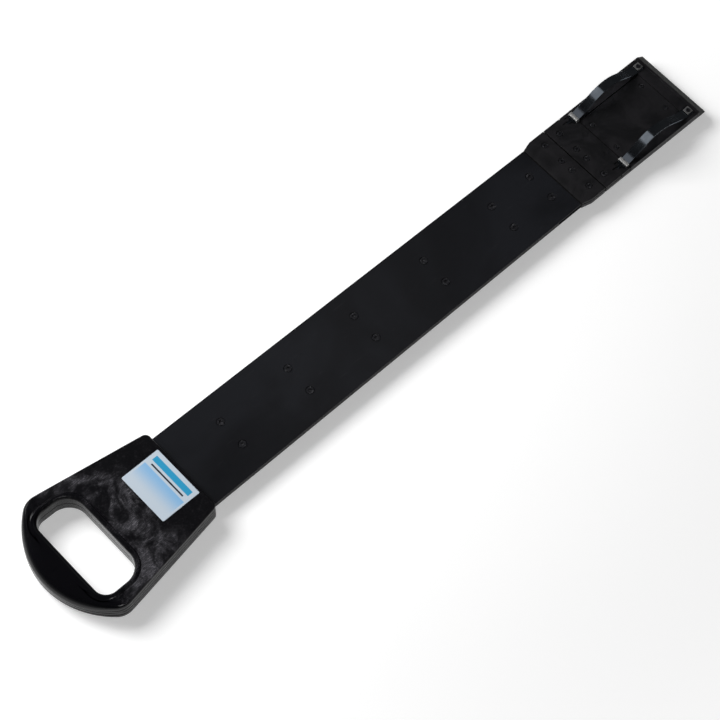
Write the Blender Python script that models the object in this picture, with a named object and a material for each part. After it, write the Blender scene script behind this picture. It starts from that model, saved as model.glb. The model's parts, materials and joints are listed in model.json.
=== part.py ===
"""Flat stack probe: grip handle, laminated blade, hinged sensor head and two bow springs.

Work frame: x = 0 at the handle's front face with +X towards the head's tip, z = 0 on the
blade's top face. The datum empty moves the whole model so that the world origin is at the
middle of its footprint, on the plane of its lowest face.
"""
import math

import bmesh
import bpy
from mathutils import Matrix, Vector

MM = 0.001
GAP = 0.3 * MM                      # kept between touching pieces
OVERCUT = 1.0 * MM                  # how far a cutter runs past the face it cuts

# Handle
HANDLE_LENGTH = 164.5 * MM
HANDLE_FRONT_WIDTH = 99.0 * MM
HANDLE_REAR_WIDTH = 142.0 * MM
HANDLE_THICKNESS = 22.5 * MM
HANDLE_WALL = 3.2 * MM
HANDLE_EDGE_RADIUS = 5.0 * MM
HANDLE_EDGE_STEPS = 4
HANDLE_FRONT_CORNER = 6.0 * MM
HANDLE_REAR_CORNER = 19.0 * MM
GRIP_ARC_RADIUS = 85.0 * MM
GRIP_ARC_ANGLE = math.radians(50)   # from the centre line to where the rear corner begins
GRIP_BAR_WIDTH = 29.5 * MM
OPENING_LENGTH = 45.5 * MM
OPENING_WIDTH = 104.0 * MM
OPENING_GRIP_CORNER = 13.0 * MM
OPENING_DECK_CORNER = 20.0 * MM
OPENING_EDGE_RADIUS = 2.4 * MM
OPENING_EDGE_STEPS = 3
LABEL_LENGTH = 43.5 * MM
LABEL_WIDTH = 59.0 * MM
LABEL_THICKNESS = 0.4 * MM          # depth of its seat too
LABEL_PROUD = 0.15 * MM             # label above the deck
LABEL_CORNER = 1.0 * MM
LABEL_SETBACK = 3.6 * MM
HANDLE_SCREW_RADIUS = 1.6 * MM
HANDLE_SCREW_HEAD_RADIUS = 3.2 * MM
HANDLE_SCREW_HEAD_HEIGHT = 2.4 * MM
HANDLE_SCREW_CHAMFER = 0.5 * MM
HANDLE_SCREW_SINK = 5.0 * MM        # from the lower face to the screw head's seat
BOSS_RADIUS = 4.6 * MM
JACK_SETBACK = 60.0 * MM
JACK_BORE_RADIUS = 1.8 * MM
JACK_BARREL_RADIUS = 3.6 * MM
JACK_BODY_RADIUS = 4.8 * MM
JACK_BODY_LENGTH = 11.0 * MM
JACK_NUT_RADIUS = 5.8 * MM
JACK_NUT_HEIGHT = 1.8 * MM
SADDLE_SETBACK = 15.0 * MM          # cable saddle behind the blade's tail
SADDLE_ACROSS = 18.0 * MM
SADDLE_LENGTH = 10.0 * MM
SADDLE_WIDTH = 8.0 * MM
SADDLE_CROWN = 1.5 * MM             # above the cable

# Blade
BLADE_LENGTH = 469.0 * MM           # from the handle's front face to the neck
BLADE_TAIL = 48.0 * MM              # hidden inside the handle
BLADE_WIDTH_AT_HANDLE = 88.9 * MM
BLADE_WIDTH_AT_NECK = 80.4 * MM
BLADE_THICKNESS = 6.35 * MM
PLATE_THICKNESS = 1.4 * MM
MIDDLE_SCREW_ROWS = [x * MM for x in (60, 143, 226, 315)]    # from the handle
END_SCREW_ROWS = [x * MM for x in (65, 15)]                  # back from the blade's end
BLADE_SCREW_SPREAD = 15.4 * MM      # from the centre line
SCREW_HEAD_RADIUS = 3.7 * MM
SCREW_HEAD_HEIGHT = 1.1 * MM
SCREW_SHANK_RADIUS = 1.7 * MM
SCREW_RIM = 0.35                    # share of a head's height that is its straight rim
SCREW_FOOT_INSET = 0.1 * MM         # blade screws end this far above the blade's lower face
CABLE_RADIUS = 0.9 * MM
CABLE_CLEARANCE = 0.5 * MM          # between the cable and the blade's bottom plate
CABLE_EXIT = 6.0 * MM               # straight run behind the jack
CABLE_TURN = (9.0 * MM, 3.0 * MM)   # where the cable turns, behind and beside the slot's middle
CABLE_ENTRY = 20.0 * MM             # where it lies straight in the blade
CABLE_STEPS = 5
TONGUE_LENGTH = 29.0 * MM

# Neck and hinge
HEAD_WIDTH = 86.6 * MM
HEAD_RISE = 1.0 * MM                # head's top face above the blade's
HEAD_DEPTH = 7.4 * MM               # head's lower face below the blade's top face
NECK_LENGTH = 30.0 * MM             # from the blade's end to the hinge line
NECK_FLARE = 11.0 * MM
NECK_RAMP = 6.5 * MM
HINGE_GAP = 1.0 * MM
LEAF_THICKNESS = 0.5 * MM
LEAF_LENGTH = 35.0 * MM
LEAF_WIDTH = 72.0 * MM
LEAF_DEPTH = 2.1 * MM
HINGE_SCREW_OFFSET = 10.0 * MM      # from the hinge line, on both sides
HINGE_SCREW_ACROSS = [y * MM for y in (-30.6, -7.0, 7.0, 30.6)]
HINGE_SCREW_HEAD_RADIUS = 2.9 * MM
HINGE_SCREW_FLOOR = 1.2 * MM        # left under the screw holes
TONGUE_INSET = 4.0 * MM             # from the blade's edges
TONGUE_ROOT = 3.0 * MM              # overlap that joins it to the neck block
TONGUE_STEP = 0.1 * MM              # tongue's top below the block's

# Head
HEAD_LENGTH = 136.0 * MM            # from the hinge line to the tip
REAR_COVER_LENGTH = 33.5 * MM
TIP_BEVEL = 8.0 * MM
TIP_THICKNESS = 2.0 * MM
TIP_LAND = 2.5 * MM                 # flat strip of the base between the bevel and the top frame
SENSOR_COVER_LENGTH = 81.0 * MM
SENSOR_COVER_WIDTH = 57.2 * MM
COVER_SINK = 0.8 * MM
COVER_SCREW_ACROSS = 17.0 * MM
COVER_SCREW_INSET = 6.8 * MM
COVER_SCREW_HEAD_RADIUS = 2.3 * MM
COVER_SCREW_SHANK_RADIUS = 1.2 * MM
COVER_SCREW_REACH = 2.6 * MM        # hole depth below the head base's top face
DIMPLE_RADIUS = 3.0 * MM
DIMPLE_FLOOR_RADIUS = 1.8 * MM
DIMPLE_ACROSS = 14.6 * MM
DIMPLE_OFFSET = 27.5 * MM
DIMPLE_DEPTH = 1.0 * MM
PLATE_LENGTH = 84.0 * MM            # electrode under the head
PLATE_WIDTH = 62.0 * MM
PLATE_SHEET = 0.8 * MM
PLATE_CORNER = 3.0 * MM
BOARD_LENGTH = 56.0 * MM
BOARD_WIDTH = 44.0 * MM
BOARD_THICKNESS = 1.6 * MM
POCKET_DEPTH = 2.95 * MM

# Bow springs
SPRING_ACROSS = 34.5 * MM
SPRING_WIDTH = 9.6 * MM
SPRING_THICKNESS = 0.8 * MM
SPRING_RIVET_SETBACK = 16.0 * MM    # from the tip
SPRING_SPAN = 91.0 * MM             # from the rivet to where the free end starts to flatten
SPRING_HEIGHT = 15.5 * MM
BOW_SHARPNESS = 1.6                 # power of the cosine that shapes the arch
BOW_STEPS = 12                      # in each half
SLOPE_STEP = 0.2 * MM               # for measuring the arch's slope
SPRING_HOLE_RADIUS = 1.7 * MM
SPRING_TAB = 3.7 * MM               # flat stretch on each side of the rivet
SPRING_CLEARANCE = 0.6 * MM         # under the flat ends, so that they can tilt
SPRING_TONGUE_WIDTH = 2.4 * MM
SPRING_TONGUE_LENGTH = 6.0 * MM
SPRING_FOOT = 3.0 * MM              # from where the bow would end to where it starts to rise
SPRING_SHOULDER = 3.5 * MM          # from there back to where the strip narrows to its tongue
SHOULDER_SLOPE = 0.3                # length of the narrowing over its depth
SPRING_SLIDE = 4.0 * MM             # room for the free end when the bow is pressed flat
CROWN_GAP = 0.4 * MM
CLIP_LENGTH = 4.0 * MM
CLIP_OFFSET = 3.5 * MM              # clip's middle from where the bow would end
CLIP_LEG_FOOT = 0.5 * MM            # legs end this far above the top frame's underside
CLIP_SHEET = 0.7 * MM
CLIP_HEADROOM = 2.1 * MM            # from the floor of the trough to the clip's inside
TROUGH_WIDTH = 11.0 * MM
WASHER_SIDE = 7.2 * MM
WASHER_THICKNESS = 0.7 * MM
RIVET_RADIUS = 1.2 * MM
RIVET_HEAD_RADIUS = 2.2 * MM
RIVET_HEAD_HEIGHT = 0.8 * MM
RIVET_RIM_HEIGHT = 0.4 * MM
RIVET_CROWN_RADIUS = 1.54 * MM
RIVET_REACH = 1.9 * MM              # shank below the head base's top face

# Worked out from the sizes above
MID_Z = -BLADE_THICKNESS / 2
TOP_Z = MID_Z + HANDLE_THICKNESS / 2
BOTTOM_Z = MID_Z - HANDLE_THICKNESS / 2
GRIP_INNER_X = -HANDLE_LENGTH + GRIP_BAR_WIDTH
CABLE_DEPTH = BLADE_THICKNESS - PLATE_THICKNESS - CABLE_RADIUS - CABLE_CLEARANCE
BLADE_SCREW_ROWS = MIDDLE_SCREW_ROWS + [BLADE_LENGTH - x for x in END_SCREW_ROWS]
OPENING_FRONT_X = GRIP_INNER_X + OPENING_LENGTH
CORE_TOP = -PLATE_THICKNESS - GAP
CORE_BOTTOM = -BLADE_THICKNESS + PLATE_THICKNESS + GAP
HINGE_X = BLADE_LENGTH + NECK_LENGTH
HINGE_Z = -LEAF_DEPTH
TIP_X = HINGE_X + HEAD_LENGTH
HEAD_START = HINGE_X + HINGE_GAP / 2
NECK_END = HINGE_X - HINGE_GAP / 2
BLOCK_TOP = -LEAF_DEPTH - LEAF_THICKNESS / 2 - GAP
COVER_BOTTOM = -LEAF_DEPTH + LEAF_THICKNESS / 2 + GAP
TROUGH_Z = HEAD_RISE - COVER_SINK
REAR_COVER_END = HINGE_X + REAR_COVER_LENGTH
FRAME_START = REAR_COVER_END + GAP
SENSOR_COVER_END = FRAME_START + SENSOR_COVER_LENGTH
BEVEL_X = TIP_X - TIP_BEVEL
RIVET_X = TIP_X - SPRING_RIVET_SETBACK
CROWN_X = RIVET_X - SPRING_SPAN / 2
SPRING_MID_Z = TROUGH_Z + SPRING_CLEARANCE + SPRING_THICKNESS / 2
CROWN_Z = SPRING_MID_Z + SPRING_HEIGHT
FOOT_X = RIVET_X - SPRING_SPAN
CLIP_X = FOOT_X + CLIP_OFFSET
SHOULDER_X = FOOT_X + SPRING_FOOT - SPRING_SHOULDER
SENSOR_PLATE_X = (FRAME_START + SENSOR_COVER_END) / 2
HANDLE_SCREWS = [(x * MM, side * y * MM) for x, y in ((-24, 30), (-118, 60.6)) for side in (1, -1)]


def clear_scene():
    for old in list(bpy.data.objects):
        bpy.data.objects.remove(old, do_unlink=True)


def material(name, colour, roughness, metallic=0.0):
    made = bpy.data.materials.new(name)
    made.use_nodes = True
    shader = made.node_tree.nodes["Principled BSDF"]
    shader.inputs["Base Color"].default_value = (*colour, 1.0)
    shader.inputs["Roughness"].default_value = roughness
    shader.inputs["Metallic"].default_value = metallic
    return made


def pivot(name, location, parent=None):
    """An empty at a place in the work frame, which carries the pieces that turn about it."""
    empty = bpy.data.objects.new(name, None)
    bpy.context.collection.objects.link(empty)
    empty["work_place"] = location
    if parent:
        empty.parent = parent
        empty.location = Vector(location) - Vector(parent["work_place"])
    else:
        empty.location = location
    return empty


def add_piece(name, bm, parent, finish=None, smooth=True):
    """Turns a bmesh drawn in the work frame into an object carried by a pivot."""
    bmesh.ops.recalc_face_normals(bm, faces=bm.faces)
    mesh = bpy.data.meshes.new(name)
    bm.to_mesh(mesh)
    bm.free()
    made = bpy.data.objects.new(name, mesh)
    bpy.context.collection.objects.link(made)
    made.parent = parent
    made.location = -Vector(parent["work_place"])
    if finish:
        mesh.materials.append(finish)
    if smooth:
        mesh.shade_smooth()
        mesh.set_sharp_from_angle(angle=math.radians(35))
    return made


def add_cutter(name, bm, parent):
    made = add_piece(name, bm, parent, smooth=False)
    made.hide_render = True
    made.display_type = "WIRE"
    return made


def cut(target, cutter):
    modifier = target.modifiers.new("cut " + cutter.name, "BOOLEAN")
    modifier.operation = "DIFFERENCE"
    modifier.solver = "EXACT"
    modifier.object = cutter


def arc(centre, radius, start, end, steps):
    """Points along an arc, both ends included."""
    angles = [start + (end - start) * i / steps for i in range(steps + 1)]
    return [(centre[0] + radius * math.cos(a), centre[1] + radius * math.sin(a)) for a in angles]


def rounded_outline(corners, step=math.radians(15)):
    """A closed outline from corners (x, y, radius), each rounded with an arc."""
    points = []
    count = len(corners)
    for i, (x, y, radius) in enumerate(corners):
        here = Vector((x, y))
        back = (Vector(corners[i - 1][:2]) - here).normalized()
        ahead = (Vector(corners[(i + 1) % count][:2]) - here).normalized()
        if radius == 0:
            points.append((x, y))
            continue
        half = back.angle(ahead) / 2
        centre = here + (back + ahead).normalized() * (radius / math.sin(half))
        first = here + back * (radius / math.tan(half)) - centre
        last = here + ahead * (radius / math.tan(half)) - centre
        turn = math.pi - 2 * half
        if first.x * last.y - first.y * last.x < 0:
            turn = -turn
        start = math.atan2(first.y, first.x)
        steps = max(2, math.ceil(abs(turn) / step))
        points += arc(centre, radius, start, start + turn, steps)
    return points


def inset_outline(points, distance):
    """The outline moved inwards (outwards if negative), by mitred edges."""
    area = sum(a[0] * b[1] - b[0] * a[1] for a, b in zip(points, points[1:] + points[:1]))
    side = 1 if area > 0 else -1
    moved = []
    for before, here, after in zip(points[-1:] + points[:-1], points, points[1:] + points[:1]):
        into = (Vector(here) - Vector(before)).normalized()
        out = (Vector(after) - Vector(here)).normalized()
        normal_in = Vector((-into.y, into.x)) * side
        normal_out = Vector((-out.y, out.x)) * side
        mitre = (normal_in + normal_out).normalized()
        reach = distance / max(0.5, mitre.dot(normal_in))
        moved.append((here[0] + mitre.x * reach, here[1] + mitre.y * reach))
    return moved


def loft(bm, rings):
    """Skins a list of equal rings of 3D points and caps both ends."""
    made = [[bm.verts.new(p) for p in ring] for ring in rings]
    for lower, upper in zip(made, made[1:]):
        count = len(lower)
        for i in range(count):
            j = (i + 1) % count
            bm.faces.new((lower[i], lower[j], upper[j], upper[i]))
    bm.faces.new(list(reversed(made[0])))
    bm.faces.new(made[-1])


def prism(bm, outline, low, high):
    loft(bm, [[(x, y, z) for x, y in outline] for z in (low, high)])


def box(bm, low, high):
    outline = [(low[0], low[1]), (high[0], low[1]), (high[0], high[1]), (low[0], high[1])]
    prism(bm, outline, low[2], high[2])


def turned(bm, profile, place, segments=16, turn=None):
    """A closed solid of revolution: profile is (radius, height) from one end to the other."""
    frame = Matrix.Translation(place) @ (turn or Matrix.Identity(4))
    rings = []
    for radius, height in profile:
        ring = [(radius * math.cos(a), radius * math.sin(a), height)
                for a in (2 * math.pi * i / segments for i in range(segments))]
        rings.append([frame @ Vector(p) for p in ring])
    loft(bm, rings)


def ring_solid(bm, inner, outer, low, high, place, segments=20, turn=None):
    """A flat ring, such as a nut, as one closed body."""
    frame = Matrix.Translation(place) @ (turn or Matrix.Identity(4))
    corners = [(inner, low), (outer, low), (outer, high), (inner, high)]
    loops = []
    for radius, height in corners:
        angles = (2 * math.pi * i / segments for i in range(segments))
        points = [frame @ Vector((radius * math.cos(a), radius * math.sin(a), height)) for a in angles]
        loops.append([bm.verts.new(p) for p in points])
    for k, loop in enumerate(loops):
        following = loops[(k + 1) % len(loops)]
        for i in range(segments):
            j = (i + 1) % segments
            bm.faces.new((loop[i], loop[j], following[j], following[i]))


def countersunk(head_radius, head_height, shank_radius, length, clearance=0.0):
    """Profile of a flush screw (or, with a clearance, of its hole), from its foot up to z = 0."""
    return [
        (shank_radius + clearance, -length - (OVERCUT if clearance else 0.0)),
        (shank_radius + clearance, -head_height - clearance),
        (head_radius + clearance, -head_height * SCREW_RIM - clearance),
        (head_radius + clearance, OVERCUT if clearance else 0.0),
    ]


def blade_half_width(x):
    share = min(max(x / BLADE_LENGTH, 0.0), 1.0)
    return (BLADE_WIDTH_AT_HANDLE + (BLADE_WIDTH_AT_NECK - BLADE_WIDTH_AT_HANDLE) * share) / 2


def blade_outline(start, end):
    """The blade's outline: parallel in the handle, then slightly tapered."""
    stations = [x for x in (start, 0.0, end) if start <= x <= end]
    right = [(x, -blade_half_width(x)) for x in stations]
    left = [(x, blade_half_width(x)) for x in reversed(stations)]
    return right + left


def handle_outline():
    """Front corners, rear corners, and the grip's arc as one large rounded corner."""
    centre_x = -HANDLE_LENGTH + GRIP_ARC_RADIUS
    front = HANDLE_FRONT_WIDTH / 2
    tangent = Vector((-math.cos(GRIP_ARC_ANGLE), math.sin(GRIP_ARC_ANGLE)))
    arc_end = Vector((centre_x, 0)) + tangent * GRIP_ARC_RADIUS
    apex_x = arc_end.x - arc_end.y * math.tan(GRIP_ARC_ANGLE)
    rear_y = HANDLE_REAR_WIDTH / 2
    rear_x = apex_x + rear_y * math.tan(GRIP_ARC_ANGLE)
    reach = (arc_end - Vector((rear_x, rear_y))).length
    side = Vector((-rear_x, front - rear_y))
    along = Vector((apex_x - rear_x, -rear_y))
    corner = min(HANDLE_REAR_CORNER, 0.95 * reach * math.tan(side.angle(along) / 2))
    return rounded_outline([
        (0, -front, HANDLE_FRONT_CORNER),
        (0, front, HANDLE_FRONT_CORNER),
        (rear_x, rear_y, corner),
        (apex_x, 0, GRIP_ARC_RADIUS),
        (rear_x, -rear_y, corner),
    ], math.radians(9))


def opening_outline():
    half = OPENING_WIDTH / 2
    return rounded_outline([
        (GRIP_INNER_X, -half, OPENING_GRIP_CORNER),
        (OPENING_FRONT_X, -half, OPENING_DECK_CORNER),
        (OPENING_FRONT_X, half, OPENING_DECK_CORNER),
        (GRIP_INNER_X, half, OPENING_GRIP_CORNER),
    ])


def wall_place(setback):
    """A point on the handle's +Y side wall and the wall's outward direction there."""
    centre_x = -HANDLE_LENGTH + GRIP_ARC_RADIUS
    tangent = Vector((-math.cos(GRIP_ARC_ANGLE), math.sin(GRIP_ARC_ANGLE)))
    arc_end = Vector((centre_x, 0)) + tangent * GRIP_ARC_RADIUS
    rear_y = HANDLE_REAR_WIDTH / 2
    rear_x = arc_end.x + (rear_y - arc_end.y) * math.tan(GRIP_ARC_ANGLE)
    slope = (rear_y - HANDLE_FRONT_WIDTH / 2) / rear_x
    place = Vector((-setback, HANDLE_FRONT_WIDTH / 2 - slope * setback, MID_Z))
    outward = Vector((-slope, 1, 0)).normalized()
    return place, outward


def jack_turn(outward):
    return outward.to_track_quat("Z", "Y").to_matrix().to_4x4()


def shell_body(name, side, parent, finish):
    """One handle half without its holes: a tray from the parting plane, with a rounded rim."""
    outline = handle_outline()
    face = HANDLE_THICKNESS / 2
    heights = [(0.0, GAP / 2), (0.0, face - HANDLE_EDGE_RADIUS)]
    for k in range(1, HANDLE_EDGE_STEPS + 1):
        angle = math.pi / 2 * k / HANDLE_EDGE_STEPS
        inset = HANDLE_EDGE_RADIUS * (1 - math.cos(angle))
        heights.append((inset, face - HANDLE_EDGE_RADIUS * (1 - math.sin(angle))))
    rings = []
    for inset, height in heights:
        z = MID_Z + side * height
        rings.append([(x, y, z) for x, y in inset_outline(outline, inset)])
    bm = bmesh.new()
    loft(bm, rings)
    return add_piece(name, bm, parent, finish)


def opening_cutter(side, parent):
    """The grip opening, with its rim rounded outwards at the handle's face."""
    outline = opening_outline()
    face = HANDLE_THICKNESS / 2
    heights = [(0.0, -OVERCUT), (0.0, face - OPENING_EDGE_RADIUS)]
    for k in range(1, OPENING_EDGE_STEPS + 1):
        angle = math.pi / 2 * k / OPENING_EDGE_STEPS
        flare = OPENING_EDGE_RADIUS * (1 - math.cos(angle))
        heights.append((-flare, face - OPENING_EDGE_RADIUS * (1 - math.sin(angle))))
    heights.append((-OPENING_EDGE_RADIUS, face + OVERCUT))
    rings = []
    for inset, height in heights:
        rings.append([(x, y, MID_Z + side * height) for x, y in inset_outline(outline, inset)])
    bm = bmesh.new()
    loft(bm, rings)
    return add_cutter(f"opening_{'top' if side > 0 else 'bottom'}", bm, parent)


def cavity_cutter(side, parent):
    """The hollow inside one half: all but the walls, the wall round the opening and the bosses."""
    label = "top" if side > 0 else "bottom"
    depth = HANDLE_THICKNESS / 2 - HANDLE_WALL
    ends = sorted((MID_Z - side * OVERCUT, MID_Z + side * depth))
    keep_ends = (ends[0] - OVERCUT, ends[1] + OVERCUT)
    around = bmesh.new()
    prism(around, inset_outline(opening_outline(), -HANDLE_WALL - OPENING_EDGE_RADIUS / 2), *keep_ends)
    opening_wall = add_cutter(f"opening_wall_{label}", around, parent)
    columns = bmesh.new()
    for x, y in HANDLE_SCREWS:
        turned(columns, [(BOSS_RADIUS, keep_ends[0]), (BOSS_RADIUS, keep_ends[1])], (x, y, 0))
    bosses = add_cutter(f"bosses_{label}", columns, parent)
    bm = bmesh.new()
    prism(bm, inset_outline(handle_outline(), HANDLE_WALL), *ends)
    cavity = add_cutter(f"cavity_{label}", bm, parent)
    cut(cavity, opening_wall)
    cut(cavity, bosses)
    return cavity


def handle_hole_cutter(parent):
    """Screw holes with their counterbores, from below."""
    bm = bmesh.new()
    seat = BOTTOM_Z + HANDLE_SCREW_SINK
    hole = HANDLE_SCREW_RADIUS + GAP
    counterbore = HANDLE_SCREW_HEAD_RADIUS + GAP
    top = TOP_Z - HANDLE_WALL
    for x, y in HANDLE_SCREWS:
        profile = [(counterbore, BOTTOM_Z - OVERCUT), (counterbore, seat), (hole, seat), (hole, top)]
        turned(bm, profile, (x, y, 0))
    return add_cutter("screw_holes", bm, parent)


def blade_slot_cutter(parent):
    bm = bmesh.new()
    half = BLADE_WIDTH_AT_HANDLE / 2 + GAP
    box(bm, (-BLADE_TAIL - GAP, -half, -BLADE_THICKNESS - GAP), (OVERCUT, half, GAP))
    return add_cutter("blade_slot", bm, parent)


def jack_hole_cutter(parent):
    place, outward = wall_place(JACK_SETBACK)
    bm = bmesh.new()
    radius = JACK_BARREL_RADIUS + GAP
    profile = [(radius, -HANDLE_WALL * 2), (radius, OVERCUT * 2)]
    turned(bm, profile, place, 20, jack_turn(outward))
    return add_cutter("jack_hole", bm, parent)


def make_handle(parent, plastic, deck):
    holes = handle_hole_cutter(parent)
    slot = blade_slot_cutter(parent)
    jack_hole = jack_hole_cutter(parent)
    for name, side, finish in (("handle_upper_shell", 1, deck), ("handle_lower_shell", -1, plastic)):
        shell = shell_body(name, side, parent, finish)
        cut(shell, cavity_cutter(side, parent))
        cut(shell, opening_cutter(side, parent))
        cut(shell, slot)
        cut(shell, holes)
        cut(shell, jack_hole)
        if side > 0:
            cut(shell, label_seat_cutter(parent))


def label_corners():
    high = -LABEL_SETBACK
    return high - LABEL_LENGTH, high


def label_seat_cutter(parent):
    low, high = label_corners()
    half = LABEL_WIDTH / 2 + GAP
    bm = bmesh.new()
    box(bm, (low - GAP, -half, TOP_Z - LABEL_THICKNESS), (high + GAP, half, TOP_Z + OVERCUT))
    return add_cutter("label_seat", bm, parent)


def make_label(parent, finish):
    low, high = label_corners()
    half = LABEL_WIDTH / 2
    corners = [(x, y, LABEL_CORNER) for x, y in ((low, -half), (high, -half), (high, half), (low, half))]
    seat = TOP_Z - LABEL_THICKNESS + GAP
    bm = bmesh.new()
    prism(bm, rounded_outline(corners, math.radians(30)), seat, TOP_Z + LABEL_PROUD)
    add_piece("rating_label", bm, parent, finish)


def make_handle_screws(parent, finish):
    seat = BOTTOM_Z + HANDLE_SCREW_SINK - GAP
    top = TOP_Z - HANDLE_WALL - GAP * 3
    names = ("front_left", "front_right", "rear_left", "rear_right")
    head = seat - HANDLE_SCREW_HEAD_HEIGHT
    for name, (x, y) in zip(names, HANDLE_SCREWS):
        bm = bmesh.new()
        profile = [(HANDLE_SCREW_HEAD_RADIUS - HANDLE_SCREW_CHAMFER, head),
                   (HANDLE_SCREW_HEAD_RADIUS, head + HANDLE_SCREW_CHAMFER),
                   (HANDLE_SCREW_HEAD_RADIUS, seat), (HANDLE_SCREW_RADIUS, seat),
                   (HANDLE_SCREW_RADIUS, top)]
        turned(bm, profile, (x, y, 0))
        add_piece(f"handle_screw_{name}", bm, parent, finish)


def make_jack(parent, socket_finish, nut_finish):
    """Bulkhead socket in the handle's side wall: body inside, ring nut outside."""
    place, outward = wall_place(JACK_SETBACK)
    turn = jack_turn(outward)
    inner_face = -HANDLE_WALL - GAP
    front = JACK_NUT_HEIGHT + GAP * 2
    bm = bmesh.new()
    profile = [(JACK_BODY_RADIUS, inner_face - JACK_BODY_LENGTH), (JACK_BODY_RADIUS, inner_face),
               (JACK_BARREL_RADIUS, inner_face), (JACK_BARREL_RADIUS, front),
               (JACK_BORE_RADIUS, front), (JACK_BORE_RADIUS, inner_face - JACK_BODY_LENGTH / 2)]
    turned(bm, profile, place, 20, turn)
    add_piece("jack_socket", bm, parent, socket_finish)
    bm = bmesh.new()
    ring_solid(bm, JACK_BARREL_RADIUS + GAP, JACK_NUT_RADIUS, GAP, GAP + JACK_NUT_HEIGHT, place, 20, turn)
    add_piece("jack_nut", bm, parent, nut_finish)


def cable_route():
    """From the back of the jack, round behind the blade's tail, then along the blade's middle."""
    place, outward = wall_place(JACK_SETBACK)
    rear = place - outward * (HANDLE_WALL + JACK_BODY_LENGTH + GAP * 2)
    z = -CABLE_DEPTH
    guide = [Vector((rear.x, rear.y, z))]
    guide.append(guide[0] - Vector((outward.x, outward.y, 0)) * CABLE_EXIT)
    guide.append(Vector((-BLADE_TAIL - SADDLE_SETBACK, SADDLE_ACROSS, z)))
    guide.append(Vector((-BLADE_TAIL - CABLE_TURN[0], CABLE_TURN[1], z)))
    guide.append(Vector((-BLADE_TAIL, 0, z)))
    guide.append(Vector((-BLADE_TAIL + CABLE_ENTRY, 0, z)))
    return guide


def smooth_curve(guide, steps):
    """Catmull-Rom points through the guide's points."""
    padded = [guide[0] * 2 - guide[1]] + guide + [guide[-1] * 2 - guide[-2]]
    points = []
    for a, b, c, d in zip(padded, padded[1:], padded[2:], padded[3:]):
        for k in range(steps):
            t = k / steps
            points.append(0.5 * (2 * b + (c - a) * t + (2 * a - 5 * b + 4 * c - d) * t * t
                                 + (3 * b - a - 3 * c + d) * t ** 3))
    return points + [guide[-1]]


def tube(bm, points, radius, segments=8):
    """A closed tube in a level plane through the points."""
    rings = []
    for i, point in enumerate(points):
        before = points[max(i - 1, 0)]
        after = points[min(i + 1, len(points) - 1)]
        forward = (after - before).normalized()
        across = forward.cross(Vector((0, 0, 1))).normalized()
        up = across.cross(forward)
        ring = []
        for k in range(segments):
            angle = 2 * math.pi * k / segments
            ring.append(point + across * (radius * math.cos(angle)) + up * (radius * math.sin(angle)))
        rings.append(ring)
    loft(bm, rings)


def make_cables(probe, head, finish):
    points = smooth_curve(cable_route(), CABLE_STEPS)
    points.append(Vector((NECK_END - GAP, 0, -CABLE_DEPTH)))
    bm = bmesh.new()
    tube(bm, points, CABLE_RADIUS)
    add_piece("signal_cable", bm, probe, finish)
    bm = bmesh.new()
    ends = (HEAD_START + GAP, SENSOR_PLATE_X - BOARD_LENGTH / 2 - GAP)
    tube(bm, [Vector((x, 0, -CABLE_DEPTH)) for x in ends], CABLE_RADIUS)
    add_piece("sensor_lead", bm, head, finish)


def make_cable_saddle(parent, finish):
    """Block on the lower shell's floor that holds the cable just behind the blade's tail."""
    floor = BOTTOM_Z + HANDLE_WALL + GAP
    top = -CABLE_DEPTH + CABLE_RADIUS + SADDLE_CROWN
    x = -BLADE_TAIL - SADDLE_SETBACK
    half_length = SADDLE_LENGTH / 2
    half_width = SADDLE_WIDTH / 2
    bm = bmesh.new()
    box(bm, (x - half_length, SADDLE_ACROSS - half_width, floor),
        (x + half_length, SADDLE_ACROSS + half_width, top))
    saddle = add_piece("cable_saddle", bm, parent, finish, smooth=False)
    points = smooth_curve(cable_route(), CABLE_STEPS)
    cutter = bmesh.new()
    tube(cutter, points, CABLE_RADIUS + GAP)
    cut(saddle, add_cutter("saddle_groove", cutter, parent))


def blade_screw_places():
    return [(x, side * BLADE_SCREW_SPREAD) for x in BLADE_SCREW_ROWS for side in (1, -1)]


def make_blade(parent, plate_finish, core_finish):
    holes = bmesh.new()
    profile = countersunk(SCREW_HEAD_RADIUS, SCREW_HEAD_HEIGHT, SCREW_SHANK_RADIUS, BLADE_THICKNESS, GAP)
    for x, y in blade_screw_places():
        turned(holes, profile, (x, y, 0))
    bolt = HANDLE_SCREW_RADIUS + GAP
    for x, y in HANDLE_SCREWS[:2]:
        turned(holes, [(bolt, -BLADE_THICKNESS - OVERCUT), (bolt, OVERCUT)], (x, y, 0))
    hole_cutter = add_cutter("blade_holes", holes, parent)
    core_end = BLADE_LENGTH - TONGUE_LENGTH - GAP
    lower = -BLADE_THICKNESS + PLATE_THICKNESS
    layers = (
        ("blade_top_plate", -PLATE_THICKNESS, 0.0, BLADE_LENGTH, plate_finish),
        ("blade_core", CORE_BOTTOM, CORE_TOP, core_end, core_finish),
        ("blade_bottom_plate", -BLADE_THICKNESS, lower, BLADE_LENGTH, plate_finish),
    )
    for name, low, high, end, finish in layers:
        bm = bmesh.new()
        prism(bm, blade_outline(-BLADE_TAIL, end), low, high)
        layer = add_piece(name, bm, parent, finish, smooth=False)
        cut(layer, hole_cutter)
        if name == "blade_core":
            groove = bmesh.new()
            half = CABLE_RADIUS + GAP
            box(groove, (-BLADE_TAIL - OVERCUT, -half, CORE_BOTTOM - OVERCUT),
                (core_end + OVERCUT, half, -CABLE_DEPTH + half))
            cut(layer, add_cutter("core_groove", groove, parent))


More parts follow.
